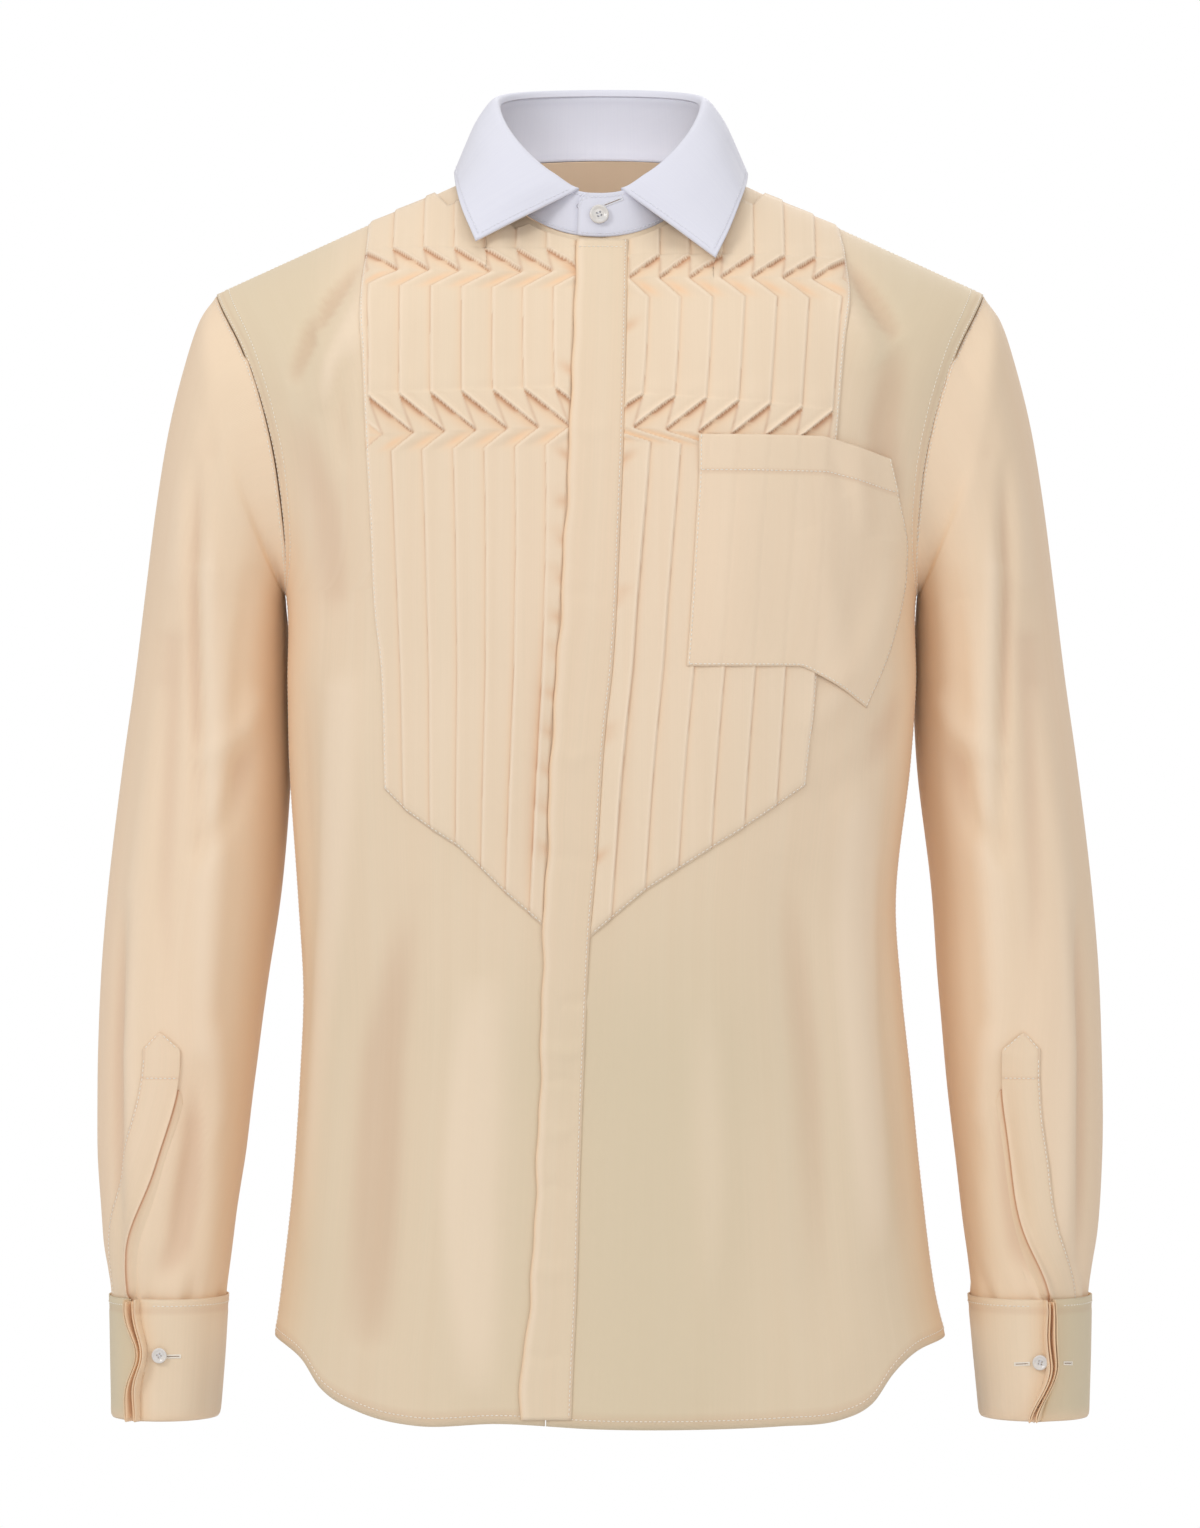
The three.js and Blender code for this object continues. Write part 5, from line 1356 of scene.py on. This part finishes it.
def leafPlace(u, v):
    angle = mixBetween(-collar["leafStart"], -360 + collar["leafStart"], u)
    roll = standSpot(angle, 1, 0)
    away = unit(roll * np.array([1, 1, 0]))
    along = u * leafEdge[-1][0]
    edge = np.stack([readTable(leafEdge, along, column) for column in (1, 2, 3)], axis=-1)
    front = frontPlace(edge[..., 0], edge[..., 2], 0)[0][..., 1] - collar["clearance"]
    ahead = ramp(-edge[..., 1], 6, 34)
    edge[..., 1] = mixBetween(edge[..., 1], np.minimum(edge[..., 1], front), ahead)
    share, out, up = (readTable(leafShape, v * leafShape[-1][0], column) for column in (1, 2, 3))
    ends = np.minimum(u, 1 - u)
    slim = mixBetween(0.3, 1, ramp(ends, 0, 0.045))
    points = roll + (edge - roll) * share[..., None] + away * (out * slim)[..., None]
    points[..., 2] += up * slim
    rim = np.minimum((1 - v) * 60, ends * 420)
    seam = bell(rim - 3.2, 0.8) * (v > 0.3)
    sag = 0.5 * np.sin(u * 26) * v * ramp(ends, 0.0, 0.08)
    # Painted shade in the seam's dip
    return {"points": points, "lift": 0.6 + slim + sag - 0.3 * seam, "fold": 0.2 * seam, "sage": 0.1}


def leafMiddle(points):
    return points * np.array([0, 0, 1]) - np.array([0, 0, 40])


clothPiece("collar_leaf", collar["leafColumns"], collar["leafRows"], leafPlace, collar["leafWall"],
           leafMiddle, collarCloth, "collar_cloth")
print("collar made")


# Thread: every stitch is a small grain laid along a seam or across a buttonhole

stitchSize = {"long": 2.1, "gap": 0.6, "thick": 0.34, "flatness": 0.8, "proud": 0.12}


def seamPath(name, edge, inset, start=0.0, stop=1.0):
    # The line on a piece of cloth that runs a given way in from one of its edges
    points, normals = surfaces[name]["points"], surfaces[name]["normals"]
    if edge[0] == "u":
        points, normals = points.transpose(1, 0, 2), normals.transpose(1, 0, 2)
    if edge[1] == "1":
        points, normals = points[::-1], normals[::-1]
    steps = np.linalg.norm(np.diff(points[:60], axis=0), axis=-1)
    reached = np.concatenate([np.zeros((1, points.shape[1])), np.cumsum(steps, axis=0)])
    first = round(start * (points.shape[1] - 1))
    last = round(stop * (points.shape[1] - 1))
    path, away = [], []
    for column in range(first, last + 1):
        spot = np.searchsorted(reached[:, column], inset)
        spot = min(max(spot, 1), len(reached) - 1)
        before, after = reached[spot - 1, column], reached[spot, column]
        share = (inset - before) / max(after - before, 1e-6)
        path.append(mixBetween(points[spot - 1, column], points[spot, column], min(share, 1)))
        away.append(normals[spot - 1, column])
    return np.array(path), np.array(away)


def crossPath(name, v, start, stop):
    # A line straight across a piece at one share of its height
    points, normals = surfaces[name]["points"], surfaces[name]["normals"]
    row = round(v * (points.shape[0] - 1))
    first, last = round(start * (points.shape[1] - 1)), round(stop * (points.shape[1] - 1))
    return points[row, first:last + 1], normals[row, first:last + 1]


def alongSeam(path, away):
    # Places of the stitches along a seam: middle, direction and the way out of the cloth
    steps = np.linalg.norm(np.diff(path, axis=0), axis=1)
    reached = np.concatenate([[0], np.cumsum(steps)])
    pitch = stitchSize["long"] + stitchSize["gap"]
    middles = np.arange(pitch / 2, reached[-1] - pitch / 2, pitch)

    def at(where, values):
        return np.stack([np.interp(where, reached, values[:, axis]) for axis in range(3)], axis=-1)

    here = at(middles, path)
    ahead = at(middles + pitch * 0.4, path) - at(middles - pitch * 0.4, path)
    return list(zip(here, unit(ahead), unit(at(middles, away))))


def sewn(name, spots, material, slotName, long=stitchSize["long"], thick=stitchSize["thick"]):
    # One mesh of many grains of thread, each a low sphere drawn out along its direction
    grain = bmesh.new()
    bmesh.ops.create_uvsphere(grain, u_segments=4, v_segments=3, radius=1)
    grainMesh = meshed("thread_grain", grain)
    base = np.zeros(len(grainMesh.vertices) * 3)
    grainMesh.vertices.foreach_get("co", base)
    base = base.reshape(-1, 3)
    whole = bmesh.new()
    for middle, ahead, outward in spots:
        beside = unit(np.cross(outward, ahead))
        above = np.cross(ahead, beside) * stitchSize["flatness"]
        shape = base[:, 2:3] * ahead * long / 2 + (base[:, 0:1] * beside + base[:, 1:2] * above) * thick
        placed = (middle + outward * stitchSize["proud"] + shape) * mm
        grainMesh.vertices.foreach_set("co", placed.ravel())
        whole.from_mesh(grainMesh)
    bmesh.ops.recalc_face_normals(whole, faces=whole.faces)
    data = meshed(name, whole)
    bpy.data.meshes.remove(grainMesh)
    smoothed(data, material)
    carried(added(name, data), slotName)


def pair(cloth, *seam):
    return [(cloth + "_right", *seam), (cloth + "_left", *seam)]


def bothEdges(cloth, *seam):
    return [(cloth, "u0", *seam), (cloth, "u1", *seam)]


armholeShare = panels["armShare"]
seams = {  # cloth, edge, millimetres in from it, and the share of the edge that is sewn
    "hem": pair("front", "v1", panels["hem"], 0, 1) + [("back", "v1", panels["hem"], 0, 1)],
    "armhole": (pair("front", "u1", panels["felled"], 0, armholeShare)
                + pair("front", "u1", 1.4, 0, armholeShare)
                + bothEdges("back", panels["felled"], 0, panels["backArmShare"])
                + bothEdges("yoke", panels["felled"], 0, 1)),
    "side": pair("front", "u1", 2, armholeShare, 1) + bothEdges("back", 5, 0.33, 1),
    "yoke": [("yoke", "v1", 1.6, 0, 1)] + pair("front", "v0", 2, 0.42, 1),
    "bib_right": [("bib_right", "u0", 1.5, 0.03, 1), ("bib_right", "v1", 1.6, 0, 0.97)],
    "bib_left": [("bib_left", "u0", 1.5, 0.03, 1), ("bib_left", "v1", 1.6, 0, 0.97)],
    "placket": [("placket", "u1", 1.6, 0, 1), ("placket", "v0", 6, 0.05, 0.95)],
    "pocket": (bothEdges("pocket", 1.4, 0, 1)
               + [("pocket", "v1", 1.4, 0.01, 0.99), ("pocket", "v0", pocket["hem"], 0.01, 0.99)]),
    "sleeve_right": [("sleeve_placket_right", "u1", 1.5, 0.1, 0.96), ("sleeve_right", "v0", 1.6, 0, 1)],
    "sleeve_left": [("sleeve_placket_left", "u1", 1.5, 0.1, 0.96), ("sleeve_left", "v0", 1.6, 0, 1)],
    "cuff_right": [("cuff_right", "v0", 4, 0.06, 0.94)],
    "cuff_left": [("cuff_left", "v0", 4, 0.06, 0.94)],
    "collar_leaf": [("collar_leaf", "u0", 3.2, 0.3, 0.94), ("collar_leaf", "v1", 3.2, 0.012, 0.988),
                    ("collar_leaf", "u1", 3.2, 0.3, 0.94)],
    "collar_stand": [("collar_stand", "v1", 1.8, 0, 1), ("collar_stand", "v0", 2.4, 0, 1)],
}


def towerStitches(cloth):
    # The line across a sleeve placket above its slit, and the two lines up its point
    top, second, foot = (towers["rows"][row][0] for row in (0, 1, -1))
    spots = alongSeam(*crossPath(cloth, (top - towers["cross"]) / (top - foot), 0.05, 0.95))
    points, normals = surfaces[cloth]["points"], surfaces[cloth]["normals"]
    lastRow = round((top - second) / (top - foot) * (points.shape[0] - 1))
    for column in (2, -3):
        spots += alongSeam(points[1:lastRow + 2, column], normals[1:lastRow + 2, column])
    return spots


for name, lines in seams.items():
    spots = []
    for cloth, edge, inset, start, stop in lines:
        spots += alongSeam(*seamPath(cloth, edge, inset, start, stop))
    if name.startswith("sleeve_"):
        spots += towerStitches(name.replace("sleeve_", "sleeve_placket_"))
    white = name.startswith("collar")
    sewn(name + "_stitching", spots, whiteThread if white else creamThread,
         "collar_cloth" if white else "shirting")
print("seams sewn")


# Pearl buttons with four holes, their thread, and the worked buttonholes

buttons = {
    "collar_button": {"radius": 5.75, "on": "collar_stand", "spin": 20},
    "cuff_button_right": {"radius": 4.6, "on": "cuff_right", "spin": 35},
    "cuff_button_left": {"radius": 4.6, "on": "cuff_left", "spin": -15},
}
buttonProfile = [  # share of the radius, share of the radius up
    (0, 0), (0.84, 0), (0.95, 0.07), (1, 0.19), (0.98, 0.31), (0.9, 0.385), (0.8, 0.39), (0.7, 0.34),
    (0.6, 0.27), (0.48, 0.24), (0, 0.24),
]
buttonWork = {  # shares of the radius: the holes' circle and bore, how deep it sits, where its thread lies
    "circle": 0.24, "bore": 0.11, "sink": 0.15, "threadUp": 0.25, "threadLong": 0.48,
    "steps": 36, "holeSides": 12, "strand": 0.16, "threadThick": 0.17, "shankThick": 0.7,
}


def clothNear(name, spot, foremost=False):
    # The nearest place on a piece of cloth and its way out, or the foremost one that lies behind the spot
    points, normals = surfaces[name]["points"].reshape(-1, 3), surfaces[name]["normals"].reshape(-1, 3)
    away = points - spot
    distance = np.linalg.norm(away, axis=1)
    if foremost:
        aside = np.hypot(away[:, 0], away[:, 2])
        ahead = (aside < 1.6) & (normals[:, 1] < -0.15)
        distance = np.where(ahead, points[:, 1] + aside * 0.5, 1e3 + aside)
    nearest = int(np.argmin(distance))
    return points[nearest], unit(normals[nearest])


def makeButton(name, values):
    radius = values["radius"]
    shape = bmesh.new()
    rim = [shape.verts.new((across * radius, 0, up * radius)) for across, up in buttonProfile]
    rings = [shape.edges.new(pair) for pair in zip(rim, rim[1:])]
    bmesh.ops.spin(shape, geom=rim + rings, cent=(0, 0, 0), axis=(0, 0, 1), angle=2 * math.pi,
                   steps=buttonWork["steps"], use_merge=True)
    bmesh.ops.remove_doubles(shape, verts=shape.verts, dist=0.001)
    bmesh.ops.recalc_face_normals(shape, faces=shape.faces)
    blank = added("button_blank", meshed("button_blank", shape))
    drill = bmesh.new()
    circle, bore = radius * buttonWork["circle"], radius * buttonWork["bore"]
    for turn in range(4):
        angle = math.radians(45 + 90 * turn)
        place = Matrix.Translation((math.cos(angle) * circle, math.sin(angle) * circle, 0))
        bmesh.ops.create_cone(drill, cap_ends=True, segments=buttonWork["holeSides"], radius1=bore,
                              radius2=bore, depth=radius * 2, matrix=place)
    drillPiece = added("button_drill", meshed("button_drill", drill))
    bored = blank.modifiers.new("holes", "BOOLEAN")
    bored.operation = "DIFFERENCE"
    bored.solver = "EXACT"
    bored.object = drillPiece
    made = bpy.data.meshes.new_from_object(blank.evaluated_get(bpy.context.evaluated_depsgraph_get()))
    bpy.data.objects.remove(blank)
    bpy.data.objects.remove(drillPiece)
    low, high = (np.array(corner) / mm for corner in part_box(name))
    middle = (low + high) / 2
    cloth, outward = clothNear(values["on"], middle)
    base = middle - outward * radius * buttonWork["sink"]
    lie = Vector(outward).to_track_quat("Z", "Y").to_matrix().to_4x4()
    turned = Matrix.Rotation(math.radians(values["spin"]), 4, "Z")
    made.transform(Matrix.Translation(base * mm) @ Matrix.Scale(mm, 4) @ lie @ turned)
    made.name = name + "_pearl"
    made.materials.clear()
    smoothed(made, pearl)
    made.set_sharp_from_angle(angle=math.radians(50))
    piece = added(name + "_pearl", made)
    carried(piece, "pearl_button")
    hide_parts(name)
    frameOf = (lie @ turned).to_3x3()
    east, north = np.array(frameOf @ Vector((1, 0, 0))), np.array(frameOf @ Vector((0, 1, 0)))
    reach = circle * math.sqrt(0.5)
    threads = []
    for side in (-1, 1):
        for strand in (-buttonWork["strand"], buttonWork["strand"]):
            where = base + outward * radius * buttonWork["threadUp"] + north * (side * reach + strand)
            threads.append((where, east, outward))
    sewn(name + "_thread", threads, whiteThread, "collar_cloth", long=radius * buttonWork["threadLong"],
         thick=buttonWork["threadThick"])
    shank = [(cloth + (base - cloth) * share, unit(outward), east) for share in (0.3, 0.7)]
    sewn(name + "_shank", shank, whiteThread, "collar_cloth", long=max(np.linalg.norm(base - cloth), 0.6),
         thick=buttonWork["shankThick"])


for name, values in buttons.items():
    makeButton(name, values)

buttonholes = {  # cloth, place across and up, tilt along the cloth, length
    "collar_buttonhole": ("collar_stand", (8.6, -14.6), 22, 11),
    "cuff_buttonhole_right": ("cuff_right", (-253.6, -697.6), 0, 8.5),
    "cuff_buttonhole_left_outer": ("cuff_left", (279.2, -702.6), -4, 5.5),
    "cuff_buttonhole_left_inner": ("cuff_left", (250, -702.6), 4, 8),
}
# The dark finish of the painted shadow in the buttonholes' slits
slitLook = Finish("buttonhole_shade")
slitGrain = slitLook.add("ShaderNodeTexNoise", n2=500.0, Vector=slitLook.add("ShaderNodeTexCoord", out=3))
slitTint = slitLook.mixed(slitGrain, tone(176, 150, 132), tone(150, 124, 108))
slitShade = slitLook.finish(slitTint, slitGrain * 0.1 + 0.8)
holeWork = {
    "pitch": 0.5, "reach": 0.85, "slit": 0.28, "long": 1.3, "bars": 5, "barGap": 0.45, "barOut": 0.4,
    "cutPitch": 1.6, "cutLong": 2.2, "cutThick": 0.26,
}
for name, (cloth, (across, up), tilt, length) in buttonholes.items():
    middle, outward = clothNear(cloth, np.array([across, -100, up]), foremost=True)
    level = unit(np.cross(outward, np.array([0, 0, 1])))
    rising = unit(np.cross(outward, level))
    rising = rising if rising[2] > 0 else -rising
    level = level if level[0] > 0 else -level
    along = level * math.cos(math.radians(tilt)) + rising * math.sin(math.radians(tilt))
    beside = unit(np.cross(outward, along))
    grains = []
    for place in np.arange(-length / 2, length / 2 + 0.01, holeWork["pitch"]):
        for side in (-1, 1):
            spot = middle + along * place + beside * side * (holeWork["slit"] + holeWork["reach"] / 2)
            grains.append((spot, beside, outward))
    for end in (-1, 1):
        for bar in range(holeWork["bars"]):
            shift = (bar - (holeWork["bars"] - 1) / 2) * holeWork["barGap"]
            spot = middle + along * end * (length / 2 + holeWork["barOut"]) + beside * shift
            grains.append((spot, along, outward))
    slotName = "collar_cloth" if cloth.startswith("collar") else "shirting"
    work = whiteThread if slotName == "collar_cloth" else creamThread
    sewn(name, grains, work, slotName, long=holeWork["long"])
    # Dark grains along the middle of each buttonhole: painted shadow in its slit
    places = np.arange(-length / 2 + 1, length / 2 - 0.9, holeWork["cutPitch"])
    slitShadow = [(middle + along * place, along, outward) for place in places]
    sewn(name + "_cut", slitShadow, slitShade, slotName, long=holeWork["cutLong"], thick=holeWork["cutThick"])
print("buttons and buttonholes made")


print("scene made")
